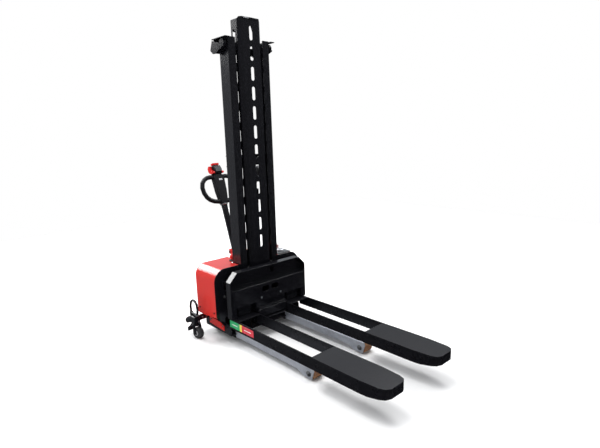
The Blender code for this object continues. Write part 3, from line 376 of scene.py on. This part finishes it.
def refine(node, width, material=None):
    """Shows a CAD node with rounded edges and its own finish."""
    piece = add_piece(node + "_surface", welded(node), BODY_OF[node], SLOT_OF[node], material, (node,))
    round_edges(piece, width)
    return piece


def mould(node, voxel, rounds):
    """Shows a CAD node as one soft-edged moulding or casting, with its joins blended."""
    source = add_piece(node + "_surface", welded(node), BODY_OF[node], SLOT_OF[node])
    remesh = source.modifiers.new("skin", "REMESH")
    remesh.mode = "VOXEL"
    remesh.voxel_size = voxel
    smooth = source.modifiers.new("blend", "SMOOTH")
    smooth.iterations = rounds
    smooth.factor = 0.5
    bpy.context.view_layer.update()
    evaluated = source.evaluated_get(bpy.context.evaluated_depsgraph_get())
    result = bpy.data.meshes.new_from_object(evaluated)
    source.modifiers.clear()
    old = source.data
    source.data = result
    bpy.data.meshes.remove(old)
    result.shade_smooth()
    if not result.materials:
        result.materials.append(FINISHES[SLOT_OF[node]])
    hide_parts(node)
    return source


def ring(centre, axis, radius, segments):
    """Points of a circle about an axis."""
    axis = axis.normalized()
    first = axis.orthogonal().normalized()
    second = axis.cross(first)
    turns = [2.0 * math.pi * i / segments for i in range(segments)]
    return [centre + (first * math.cos(turn) + second * math.sin(turn)) * radius for turn in turns]


def bridge(mesh, rings, closed=False):
    """Skins rings that have the same number of points, with flat end caps unless closed."""
    loops = [[mesh.verts.new(point) for point in points] for points in rings]
    faces = []
    if not closed:
        faces.append(mesh.faces.new(list(reversed(loops[0]))))
        faces.append(mesh.faces.new(loops[-1]))
    for near, far in zip(loops, loops[1:] + (loops[:1] if closed else [])):
        for i in range(len(near)):
            j = (i + 1) % len(near)
            faces.append(mesh.faces.new((near[i], near[j], far[j], far[i])))
    bmesh.ops.recalc_face_normals(mesh, faces=faces)
    return mesh


def lathe(profile, centre, axis, segments, mesh=None):
    """Turns (radius, height) points about an axis through centre; both ends are flat discs."""
    mesh = mesh or bmesh.new()
    centre, axis = Vector(centre), Vector(axis).normalized()
    bridge(mesh, [ring(centre + axis * height, axis, radius, segments) for radius, height in profile])
    return mesh


def hoop(points, radius, segments):
    """Round bar along a closed loop of points."""
    count = len(points)
    turns = [2.0 * math.pi * i / segments for i in range(segments)]
    rings = []
    side = None
    for i, point in enumerate(points):
        along = (points[(i + 1) % count] - points[i - 1]).normalized()
        side = along.orthogonal() if side is None else side - along * side.dot(along)
        side.normalize()
        other = along.cross(side)
        rings.append([point + (side * math.cos(turn) + other * math.sin(turn)) * radius for turn in turns])
    return bridge(bmesh.new(), rings, closed=True)


def slab(x, y, z):
    """Box between the pairs x, y and z; the piece made of it gets rounded edges."""
    mesh = bmesh.new()
    size = (abs(x[1] - x[0]), abs(y[1] - y[0]), abs(z[1] - z[0]))
    centre = ((x[0] + x[1]) / 2, (y[0] + y[1]) / 2, (z[0] + z[1]) / 2)
    matrix = Matrix.Translation(centre) @ Matrix.Diagonal((*size, 1.0))
    bmesh.ops.create_cube(mesh, size=1.0, matrix=matrix)
    return mesh


def extrude_outline(points, offset, mesh=None):
    """Closed plate: a flat outline of 3-D points pushed along an offset."""
    mesh = mesh or bmesh.new()
    near = [Vector(point) for point in points]
    bridge(mesh, [near, [point + Vector(offset) for point in near]])
    return mesh


def bolt(mesh, place, normal, size):
    """Hexagon head with a crowned top on a washer; size is the radius across its corners."""
    normal = Vector(normal).normalized()
    lathe([(1.55 * size, -0.1 * size), (1.55 * size, 0.18 * size), (1.45 * size, 0.26 * size)],
          place, normal, 24, mesh)
    seat = Vector(place) + normal * 0.26 * size
    lathe([(size, 0.0), (size, 0.52 * size), (0.80 * size, 0.66 * size)], seat, normal, 6, mesh)
    lathe([(0.52 * size, 0.60 * size), (0.46 * size, 0.82 * size)], seat, normal, 18, mesh)
    return mesh


def add_bolts(name, body, slot, places):
    """One piece that holds several bolt heads; places are (point, outward normal, size)."""
    mesh = bmesh.new()
    for place, normal, size in places:
        bolt(mesh, place, normal, size)
    return add_piece(name, mesh, body, slot)


def add_welds(name, body, seams, radius):
    """Rippled weld beads along straight seams, as one piece."""
    mesh = bmesh.new()
    pitch = 0.0035
    end_taper = 0.35
    sides = 8
    for start, end in seams:
        start, end = Vector(start), Vector(end)
        count = max(3, int((end - start).length / pitch))
        axis = (end - start).normalized()
        rings = []
        for i in range(count + 1):
            taper = end_taper if i in (0, count) else 1.0
            ripple = 1.0 + 0.16 * math.sin(i * 2.1) + 0.06 * math.sin(i * 5.3)
            rings.append(ring(start.lerp(end, i / count), axis, radius * taper * ripple, sides))
        bridge(mesh, rings)
    return add_piece(name, mesh, body, "black_paint")


# ---------------------------------------------------------------- studio
CAMERA_PLACE = (-1.7301, -1.9365, 1.2655)
CAMERA_TURN = (1.3663028, 0.0300608, -0.7469335)
CAMERA_LENS = 27.278
CAMERA_SENSOR = 36.0
CAMERA_SHIFT = (-0.00213, 0.00783)
STUDIO_MIDDLE = Vector((-0.30, 0.35, 0.45))
CEILING_LIGHTS = (  # name, place, size, brightness
    ("overhead", (-0.5, 0.5, 4.6), (2.0, 2.0), 7.5),
    ("right_high", (2.6, 0.1, 3.8), (2.6, 1.1), 11.0),
)
WINDOW_DIRECTIONS = ((-0.325, 0.835, 0.440), (-0.14, 0.84, 0.525), (0.07, 0.84, 0.54))
WINDOW_DISTANCE = 9.0
WINDOW_SIZE = (2.3, 2.3)
WINDOW_BRIGHTNESS = 13.0
SKY_BRIGHTNESS = 0.74
WALL_BRIGHTNESS = 0.004
WALL_RAMPS = (  # direction, where the ramp starts and ends along it, brightness added past its end
    ((0.0, 0.0, 1.0), 0.34, 0.46, 0.70),
    ((0.0, 0.0, 1.0), -0.30, 0.10, 0.115),
    ((-0.56, 0.83, 0.0), 0.80, 0.95, 0.25),
    ((0.50, 0.82, 0.27), 0.94, 1.00, 0.60),
)
FLOOR_HALF = 5.0


def add_camera():
    """Camera at chest height, left of the fork tips, with a small lens shift."""
    data = bpy.data.cameras.new("camera")
    data.sensor_width = CAMERA_SENSOR
    data.lens = CAMERA_LENS
    data.shift_x, data.shift_y = CAMERA_SHIFT
    camera = bpy.data.objects.new("camera", data)
    camera.location = CAMERA_PLACE
    camera.rotation_euler = CAMERA_TURN
    bpy.context.scene.collection.objects.link(camera)
    bpy.context.scene.camera = camera


def add_softbox(name, location, size, brightness):
    """Large rectangular soft light aimed at the machine; its power follows from its area."""
    data = bpy.data.lights.new(name, "AREA")
    data.shape = "RECTANGLE"
    data.size, data.size_y = size
    data.energy = brightness * size[0] * size[1] * math.pi
    light = bpy.data.objects.new(name, data)
    light.location = location
    aim = STUDIO_MIDDLE - Vector(location)
    light.rotation_euler = aim.to_track_quat("-Z", "Y").to_euler()
    light.visible_camera = False
    bpy.context.scene.collection.objects.link(light)


def background(nodes, strength, color=(1.0, 1.0, 1.0)):
    """Background shader of one colour."""
    node = nodes.new("ShaderNodeBackground")
    node.inputs["Color"].default_value = (*color, 1.0)
    node.inputs["Strength"].default_value = strength
    return node


def ramp(nodes, links, value, start, end, top):
    """Rises from 0 at start to top at end."""
    node = nodes.new("ShaderNodeMapRange")
    for socket, number in zip(node.inputs[1:5], (start, end, 0.0, top)):
        socket.default_value = number
    links.new(value, node.inputs[0])
    return node.outputs[0]


def room_brightness(nodes, links):
    """Brightness of the studio walls: dark below, brighter above and behind the machine."""
    place = nodes.new("ShaderNodeTexCoord").outputs["Generated"]
    total = nodes.new("ShaderNodeValue").outputs[0]
    total.default_value = WALL_BRIGHTNESS
    for direction, start, end, top in WALL_RAMPS:
        along = nodes.new("ShaderNodeVectorMath")
        along.operation = "DOT_PRODUCT"
        along.inputs[1].default_value = direction
        links.new(place, along.inputs[0])
        add = nodes.new("ShaderNodeMath")
        links.new(ramp(nodes, links, along.outputs["Value"], start, end, top), add.inputs[0])
        links.new(total, add.inputs[1])
        total = add.outputs[0]
    return total


def add_world():
    """White backdrop, even light on the floor, and studio walls for the reflections."""
    world = bpy.data.worlds.new("studio")
    world.use_nodes = True
    nodes, links = world.node_tree.nodes, world.node_tree.links
    nodes.clear()
    backdrop = background(nodes, 1.0)
    sky = background(nodes, SKY_BRIGHTNESS, (0.97, 0.98, 1.0))
    walls = background(nodes, 1.0, (0.90, 0.94, 1.0))
    links.new(room_brightness(nodes, links), walls.inputs["Strength"])
    path = nodes.new("ShaderNodeLightPath")
    for_gloss = nodes.new("ShaderNodeMixShader")
    for_camera = nodes.new("ShaderNodeMixShader")
    output = nodes.new("ShaderNodeOutputWorld")
    links.new(path.outputs["Is Glossy Ray"], for_gloss.inputs[0])
    links.new(sky.outputs[0], for_gloss.inputs[1])
    links.new(walls.outputs[0], for_gloss.inputs[2])
    links.new(path.outputs["Is Camera Ray"], for_camera.inputs[0])
    links.new(for_gloss.outputs[0], for_camera.inputs[1])
    links.new(backdrop.outputs[0], for_camera.inputs[2])
    links.new(for_camera.outputs[0], output.inputs["Surface"])
    bpy.context.scene.world = world


def add_floor():
    """Pale matt floor, left out of the reflections."""
    mesh = bmesh.new()
    bmesh.ops.create_grid(mesh, x_segments=1, y_segments=1, size=FLOOR_HALF)
    data = bpy.data.meshes.new("floor")
    mesh.to_mesh(data)
    mesh.free()
    finish = Finish("pale_floor", (0.95, 0.95, 0.95), 0.85, specular=0.1)
    finish.patches(3.0, 4.0, 0.4, 0.7, 0.3, (0.93, 0.93, 0.93))
    data.materials.append(finish.done())
    floor = bpy.data.objects.new("floor", data)
    bpy.context.scene.collection.objects.link(floor)
    floor.visible_glossy = False


def add_studio():
    """World, floor, two ceiling lights and an arch of three distant windows."""
    add_world()
    add_floor()
    for name, place, size, brightness in CEILING_LIGHTS:
        add_softbox(name, place, size, brightness)
    for number, direction in enumerate(WINDOW_DIRECTIONS):
        place = STUDIO_MIDDLE + Vector(direction) * WINDOW_DISTANCE
        add_softbox("window_%d" % number, place, WINDOW_SIZE, WINDOW_BRIGHTNESS)
    bpy.context.scene.view_settings.view_transform = "Standard"


# ---------------------------------------------------------------- wheels and rollers
def joint_line(name):
    """A point on a joint's axis and the axis itself."""
    joint = JOINTS[name]
    return Vector(joint["pos_m"]), Vector(joint["axis"]).normalized()


def mirrored_profile(half):
    """Profile from the middle of a wheel outwards, completed on its other side."""
    return [(radius, -height) for radius, height in reversed(half)] + list(half)


def caster_wheels():
    """Soft tread on a bright pressed disc with a hexagon axle nut on each side."""
    disc = [(0.0160, 0.0168), (0.0160, 0.0196), (0.0140, 0.0206), (0.0122, 0.0198), (0.0085, 0.0200)]
    nut_height = 0.0196
    nut_radius = 0.0046
    for label, _ in SIDES:
        centre, axis = joint_line("caster_wheel_spin_" + label)
        body = "caster_roll_" + label
        radius = centre.z
        half = [(radius, 0.0115), (radius - 0.0012, 0.0150), (radius - 0.0045, 0.0176),
                (radius - 0.012, 0.0180), (0.0165, 0.0172)]
        tread = lathe(mirrored_profile(half), centre, axis, 72)
        add_piece("caster_tread_" + label, tread, body, "wheel_rubber", stands_for=("caster_wheel_" + label,))
        discs = bmesh.new()
        for sign in (-1.0, 1.0):
            lathe(disc, centre, axis * sign, 40, discs)
            bolt(discs, centre + axis * sign * nut_height, axis * sign, nut_radius)
        add_piece("caster_disc_" + label, discs, body, "aluminium")


def load_rollers():
    """Polyurethane roller with crowned edges, steel bearing caps beside it."""
    cap = [(0.0185, 0.0290), (0.0185, 0.0326), (0.0150, 0.0332), (0.0110, 0.0330), (0.0105, 0.0338)]
    for label, _ in SIDES:
        centre, axis = joint_line("load_roller_spin_" + label)
        body = "leg_wheel_" + label
        radius = centre.z
        half = [(radius, 0.0270), (radius - 0.0010, 0.0298), (radius - 0.0042, 0.0318),
                (0.0205, 0.0322), (0.0190, 0.0306)]
        roller = lathe(mirrored_profile(half), centre, axis, 64)
        add_piece("load_roller_tread_" + label, roller, body, "polyurethane",
                  stands_for=("load_roller_" + label,))
        caps = bmesh.new()
        for sign in (-1.0, 1.0):
            lathe(cap, centre, axis * sign, 36, caps)
        add_piece("load_roller_caps_" + label, caps, body, "steel")


def drive_wheel():
    """Grooved tyre pressed on a cast hub with five wheel nuts on each side."""
    nut_count = 5
    nut_circle = 0.034
    nut_height = 0.0250
    nut_radius = 0.0050
    centre, axis = joint_line("drive_spin")
    radius = centre.z
    half = [(radius - 0.0014, 0.0), (radius - 0.0014, 0.0030), (radius, 0.0036), (radius, 0.0160),
            (radius - 0.0014, 0.0166), (radius - 0.0014, 0.0196), (radius, 0.0202), (radius, 0.0275),
            (radius - 0.0030, 0.0322), (0.0640, 0.0318), (0.0604, 0.0308)]
    tyre = lathe(mirrored_profile(half), centre, axis, 96)
    add_piece("drive_tyre_tread", tyre, "drive_wheel", "polyurethane", stands_for=("drive_tyre",))
    hub = refine("drive_hub", SHEET_EDGE)
    hub.name = "drive_hub_casting"
    nuts = []
    first = axis.orthogonal().normalized()
    for i in range(nut_count):
        spoke = Matrix.Rotation(2.0 * math.pi * i / nut_count, 3, axis) @ first
        for sign in (-1.0, 1.0):
            nuts.append((centre + spoke * nut_circle + axis * sign * nut_height, axis * sign, nut_radius))
    add_bolts("drive_hub_nuts", "drive_wheel", "steel", nuts)


# ---------------------------------------------------------------- forks and carriage
def fork_label():
    """Plain three-colour strip on the outer side of the left fork, near its heel, without lettering."""
    bands = (("red", 0.116, (0.60, 0.030, 0.050)), ("yellow", 0.021, (0.80, 0.62, 0.05)),
             ("green", 0.103, (0.012, 0.36, 0.12)))
    white = printed_film("label_white", (0.78, 0.78, 0.76))
    low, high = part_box("fork_left")
    face = low.x - 0.0001
    bottom = high.z - 0.054
    top = high.z - 0.010
    front = high.y - 0.240
    bar_inset = 0.024
    for color_name, length, color in bands:
        band = slab((face - 0.0005, face), (front, front + length), (bottom, top))
        material = printed_film("label_" + color_name, color)
        piece = add_piece("fork_label_" + color_name, band, "carriage", "black_paint", material)
        round_edges(piece, FILM_EDGE, 1)
        if color_name != "yellow":
            bar = slab((face - 0.0008, face - 0.0004), (front + bar_inset, front + length - bar_inset),
                       (bottom + 0.019, bottom + 0.024))
            piece = add_piece("fork_label_bar_" + color_name, bar, "carriage", "black_paint", white)
            round_edges(piece, FILM_EDGE, 1)
        front += length


def carriage_details():
    """Screws of the lower sheet and the weld seams at the ends of the heel beam."""
    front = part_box("carriage_frame")[0].y
    sheet_front = front + 0.023
    screw_height = 0.2625
    screw_radius = 0.0045
    screws = [((x, sheet_front, screw_height), FORWARD, screw_radius) for x in (-0.079, 0.077)]
    add_bolts("carriage_screws", "carriage", "motor_enamel", screws)
    beam_front = front + 0.012
    beam_half = 0.1165
    beam_bottom = 0.141
    beam_top = 0.199
    seams = [((x, beam_front, beam_bottom), (x, beam_front, beam_top)) for x in (-beam_half, beam_half)]
    add_welds("carriage_welds", "carriage", seams, 0.0016)


# ---------------------------------------------------------------- mast
def mast_details():
    """Bolts of the three ties, as seen from behind."""
    radius = 0.0070
    places = []
    for node in ("mast_middle_tie", "mast_bottom_tie"):
        low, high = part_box(node)
        middle = (low.z + high.z) / 2
        for x in (-0.125, 0.125):
            places += [((x, low.y + 0.005, middle + z), BACKWARD, radius) for z in (-0.014, 0.014)]
    behind_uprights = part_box("mast_upright_left")[1].y + 0.0065
    for x in (-0.120, 0.120):
        places += [((x, behind_uprights, z), BACKWARD, radius) for z in (1.770, 1.795)]
    add_bolts("mast_tie_bolts", "chassis", "steel", places)


def guard_stays():
    """Plates with a slanted inner edge across the guard's top corners, near its open back."""
    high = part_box("mast_guard")[1]
    outer = high.x - 0.0035
    plane = high.y - 0.018
    top = high.z - 0.026
    bottom = top - 0.053
    stays = bmesh.new()
    for _, side in SIDES:
        outline = [(0.0484 * side, plane, top), (0.066 * side, plane, bottom),
                   (outer * side, plane, bottom), (outer * side, plane, top)]
        extrude_outline(outline, (0.0, 0.003, 0.0), stays)
    round_edges(add_piece("guard_stay_plates", stays, "chassis", "black_paint"), FINE_EDGE)


def guard_cap():
    """Folded lip over the front of the guard with a bright oval set in it."""
    low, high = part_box("mast_guard")
    front = low.y - 0.0035
    half = 0.058
    steps = 24
    across = [-half + 2.0 * half * i / steps for i in range(steps + 1)]
    crown = [math.cos(math.pi * x / (2.0 * half)) for x in across]
    upper = [(x, front, high.z - 0.0035 + 0.0030 * rise) for x, rise in zip(across, crown)]
    lower = [(x, front, high.z - 0.0075 - 0.0050 * rise) for x, rise in zip(across, crown)]
    lip = extrude_outline(upper + lower[::-1], (0.0, 0.0034, 0.0))
    round_edges(add_piece("guard_lip", lip, "chassis", "black_paint"), LIP_EDGE)
    turns = [2.0 * math.pi * i / 32 for i in range(32)]
    oval = [(-0.034 + 0.020 * math.cos(turn), low.y - 0.0046, high.z - 0.0058 + 0.0020 * math.sin(turn))
            for turn in turns]
    liner = extrude_outline(oval, (0.0, 0.0014, 0.0))
    add_piece("guard_lip_liner", liner, "chassis", "aluminium")


# ---------------------------------------------------------------- body
def chassis_details():
    """Screws of the red side panels, bolts of the front plate and of the caster brackets."""
    low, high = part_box("side_panel_right")
    screw_radius = 0.0045
    screws = []
    for _, side in SIDES:
        outward = (side, 0.0, 0.0)
        screws.append(((high.x * side, high.y - 0.014, 0.098), outward, screw_radius))
        screws.append(((high.x * side, low.y + 0.016, 0.090), outward, screw_radius))
    add_bolts("base_screws", "chassis", "steel", screws)
    plate_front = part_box("front_plate")[0].y
    plate_bolts = [((0.279 * side, plate_front, 0.290), FORWARD, 0.0055) for _, side in SIDES]
    add_bolts("front_plate_bolts", "chassis", "steel", plate_bolts)
    for label, side in SIDES:
        caster_bracket_bolts(label, side)


def caster_bracket_bolts(label, side):
    """One bolt in the block of a caster bracket and two in its arm."""
    low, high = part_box("caster_bracket_" + label)
    x = (abs(low.x) + abs(high.x)) / 2 + 0.033
    arm_front = low.y + 0.025
    block_height = 0.110
    arm_height = 0.122
    bolts = [((x * side, low.y, block_height), FORWARD, 0.0050)]
    for inward in (0.045, 0.072):
        bolts.append((((x - inward) * side, arm_front, arm_height), FORWARD, 0.0058))
    add_bolts("caster_bolts_" + label, "chassis", "steel", bolts)


def hood_details():
    """Screws that hold the hood to the base, two in each side and two in the back."""
    low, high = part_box("body_cover")
    radius = 0.0042
    places = []
    for _, side in SIDES:
        for y in (low.y + 0.030, high.y - 0.045):
            places.append(((high.x * side, y, 0.190), (side, 0.0, 0.0), radius))
    places += [((x, high.y, 0.185), BACKWARD, radius) for x in (-0.20, 0.20)]
    add_bolts("hood_screws", "chassis", "black_plastic", places)


def top_middle(node):
    """Middle of the top of a node's box."""
    low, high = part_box(node)
    return Vector(((low.x + high.x) / 2, (low.y + high.y) / 2, high.z))


def panel_details():
    """Gauge lens, key bow and the four panel screws."""
    lens = lathe([(0.0205, -0.0022), (0.0205, -0.0008), (0.017, 0.0012), (0.010, 0.0026), (0.003, 0.0030)],
                 top_middle("battery_gauge"), UP, 48)
    add_piece("gauge_lens", lens, "chassis", "chrome")
    low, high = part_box("instrument_panel")
    inset = 0.009
    corners = [((x, y, high.z), UP, 0.0030)
               for x in (low.x + inset, high.x - inset)
               for y in (low.y + inset, high.y - inset)]
    add_bolts("panel_screws", "chassis", "steel", corners)
    key = top_middle("key_switch") + UP * 0.001
    turns = [2.0 * math.pi * i / 24 for i in range(24)]
    bow = [key + Vector((0.0, 0.0085 * math.cos(turn), 0.0062 * math.sin(turn))) for turn in turns]
    add_piece("key_bow", hoop(bow, 0.0016, 10), "key", "black_plastic")


def leg_details():
    """Axle bolts with dished washers in the cheek plates of both legs."""
    washer = [(0.0155, -0.0035), (0.0155, -0.0010), (0.0142, -0.0002), (0.0098, -0.0002)]
    bolt_radius = 0.0062
    bolt_depth = 0.0006
    for label, _ in SIDES:
        centre, _ = joint_line("load_roller_spin_" + label)
        low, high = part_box("support_leg_" + label)
        bolts = bmesh.new()
        for face, normal in ((low.x, -1.0), (high.x, 1.0)):
            place = Vector((face, centre.y, centre.z))
            outward = Vector((normal, 0.0, 0.0))
            lathe(washer, place, outward, 40, bolts)
            bolt(bolts, place - outward * bolt_depth, outward, bolt_radius)
        add_piece("leg_axle_bolts_" + label, bolts, "leg_" + label, "steel")


# ---------------------------------------------------------------- tiller
TILLER_LEAN = math.radians(18.0)
TILLER_UP = Vector((0.0, math.sin(TILLER_LEAN), math.cos(TILLER_LEAN)))
TILLER_FRONT = Vector((0.0, -math.cos(TILLER_LEAN), math.sin(TILLER_LEAN)))


def tiller_panel(x, height, depth, thickness):
    """Plate across the tiller: x and height are spans, depth is its place in front of the pivot."""
    pivot, _ = joint_line("tiller_tilt")
    corners = ((x[0], height[0]), (x[1], height[0]), (x[1], height[1]), (x[0], height[1]))
    outline = [pivot + Vector((across, 0.0, 0.0)) + TILLER_UP * up + TILLER_FRONT * depth
               for across, up in corners]
    return extrude_outline(outline, TILLER_FRONT * thickness)


def tiller_details():
    """Pivot pin heads, badge plate without a mark, pale face of the head and a steel ring on the column, a painted
    highlight for the light line at a gap.
    """
    pivot, axis = joint_line("tiller_tilt")
    head = [(0.0085, 0.0444), (0.0085, 0.0478), (0.0070, 0.0490), (0.0030, 0.0492)]
    pin = bmesh.new()
    for sign in (-1.0, 1.0):
        lathe(head, pivot, axis * sign, 32, pin)
    add_piece("tiller_pin_heads", pin, "steering", "steel")
    badge = tiller_panel((-0.006, 0.022), (0.500, 0.512), 0.0196, 0.0012)
    round_edges(add_piece("column_badge", badge, "tiller", "aluminium"), BADGE_EDGE)
    face = tiller_panel((-0.022, 0.022), (0.562, 0.594), 0.0325, 0.0016)
    round_edges(add_piece("head_face_panel", face, "tiller", "grey_plastic"), FACE_EDGE)
    # Painted highlight: this thin steel ring stands in for the light line at a gap in the column.
    highlight_ring = lathe([(0.0245, 0.3270), (0.0255, 0.3280), (0.0255, 0.3345), (0.0245, 0.3355)],
                   pivot, TILLER_UP, 40)
    add_piece("tiller_highlight_ring", highlight_ring, "tiller", "steel")


# ---------------------------------------------------------------- internal units
def battery_details():
    """Two terminals and a row of vent caps on the battery."""
    low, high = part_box("battery")
    terminals = bmesh.new()
    for x in (-0.245, -0.150):
        bolt(terminals, (x, 0.497, high.z), UP, 0.0058)
    add_piece("battery_terminals", terminals, "chassis", "steel")
    cap = [(0.0085, 0.0), (0.0085, 0.0030), (0.0070, 0.0042), (0.0030, 0.0042)]
    first = low.x + 0.026
    pitch = 0.0205
    caps = bmesh.new()
    for i in range(6):
        lathe(cap, (first + pitch * i, 0.560, high.z - 0.012), UP, 24, caps)
    add_piece("battery_vent_caps", caps, "chassis", "grey_plastic")


def motor_bands(centre, radius, half_width, heights, segments):
    """Clamp bands round an upright motor, as one mesh."""
    bands = bmesh.new()
    lip = 0.001
    for z in heights:
        profile = [(radius - lip, z - half_width), (radius, z - half_width + lip),
                   (radius, z + half_width - lip), (radius - lip, z + half_width)]
        lathe(profile, (centre.x, centre.y, 0.0), UP, segments, bands)
    return bands


def pump_details():
    """Bands of the pump motor and the filler cap of the oil tank."""
    bands = motor_bands(top_middle("pump_motor"), 0.0372, 0.003, (0.170, 0.225, 0.300), 56)
    add_piece("pump_motor_bands", bands, "chassis", "steel")
    tank_low, tank_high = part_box("oil_tank")
    place = ((tank_low.x + tank_high.x) / 2, 0.532, tank_high.z - 0.004)
    cap = lathe([(0.0150, 0.0), (0.0162, 0.001), (0.0162, 0.008), (0.0145, 0.010), (0.0040, 0.0105)],
                place, UP, 40)
    add_piece("oil_tank_cap", cap, "chassis", "black_plastic")


def motor_details():
    """Clamp bands of the upright drive motor."""
    centre, _ = joint_line("steer")
    bands = motor_bands(centre, 0.0512, 0.004, (0.272, 0.352), 64)
    add_piece("drive_motor_bands", bands, "steering", "steel")


# ---------------------------------------------------------------- build
MOULDED = {  # node: voxel size, rounds of smoothing
    "tiller_handle": (0.0014, 9), "control_head": (0.0009, 4), "steering_head": (0.0016, 5),
    "reverse_button": (0.0007, 5), "throttle_wing_left": (0.0007, 5), "throttle_wing_right": (0.0007, 5),
    "caster_lever_left": (0.0011, 8), "caster_lever_right": (0.0011, 8), "emergency_stop": (0.0007, 4),
}
HEAVY_NODES = ("mast_upright_left", "mast_upright_right", "carriage_frame", "base_frame", "front_plate")
REBUILT = ("caster_wheel_left", "caster_wheel_right", "load_roller_left", "load_roller_right",
           "drive_tyre", "drive_hub")


def edge_width(node):
    """How wide a node's edges are rounded: thick plate, thin sheet or small parts."""
    if node in HEAVY_NODES:
        return HEAVY_EDGE
    return SHEET_EDGE if SLOT_OF[node] in ("black_paint", "zinc_plate") else FINE_EDGE


def build():
    """Every CAD node with its looks, then the fine detail on each assembly."""
    for node in sorted(NODES):
        if node in MOULDED:
            mould(node, *MOULDED[node])
        elif node not in REBUILT:
            refine(node, edge_width(node), OWN_PAINT.get(node))
    caster_wheels()
    load_rollers()
    drive_wheel()
    fork_label()
    carriage_details()
    mast_details()
    guard_stays()
    guard_cap()
    chassis_details()
    hood_details()
    panel_details()
    leg_details()
    tiller_details()
    battery_details()
    pump_details()
    motor_details()


build()
add_camera()
add_studio()
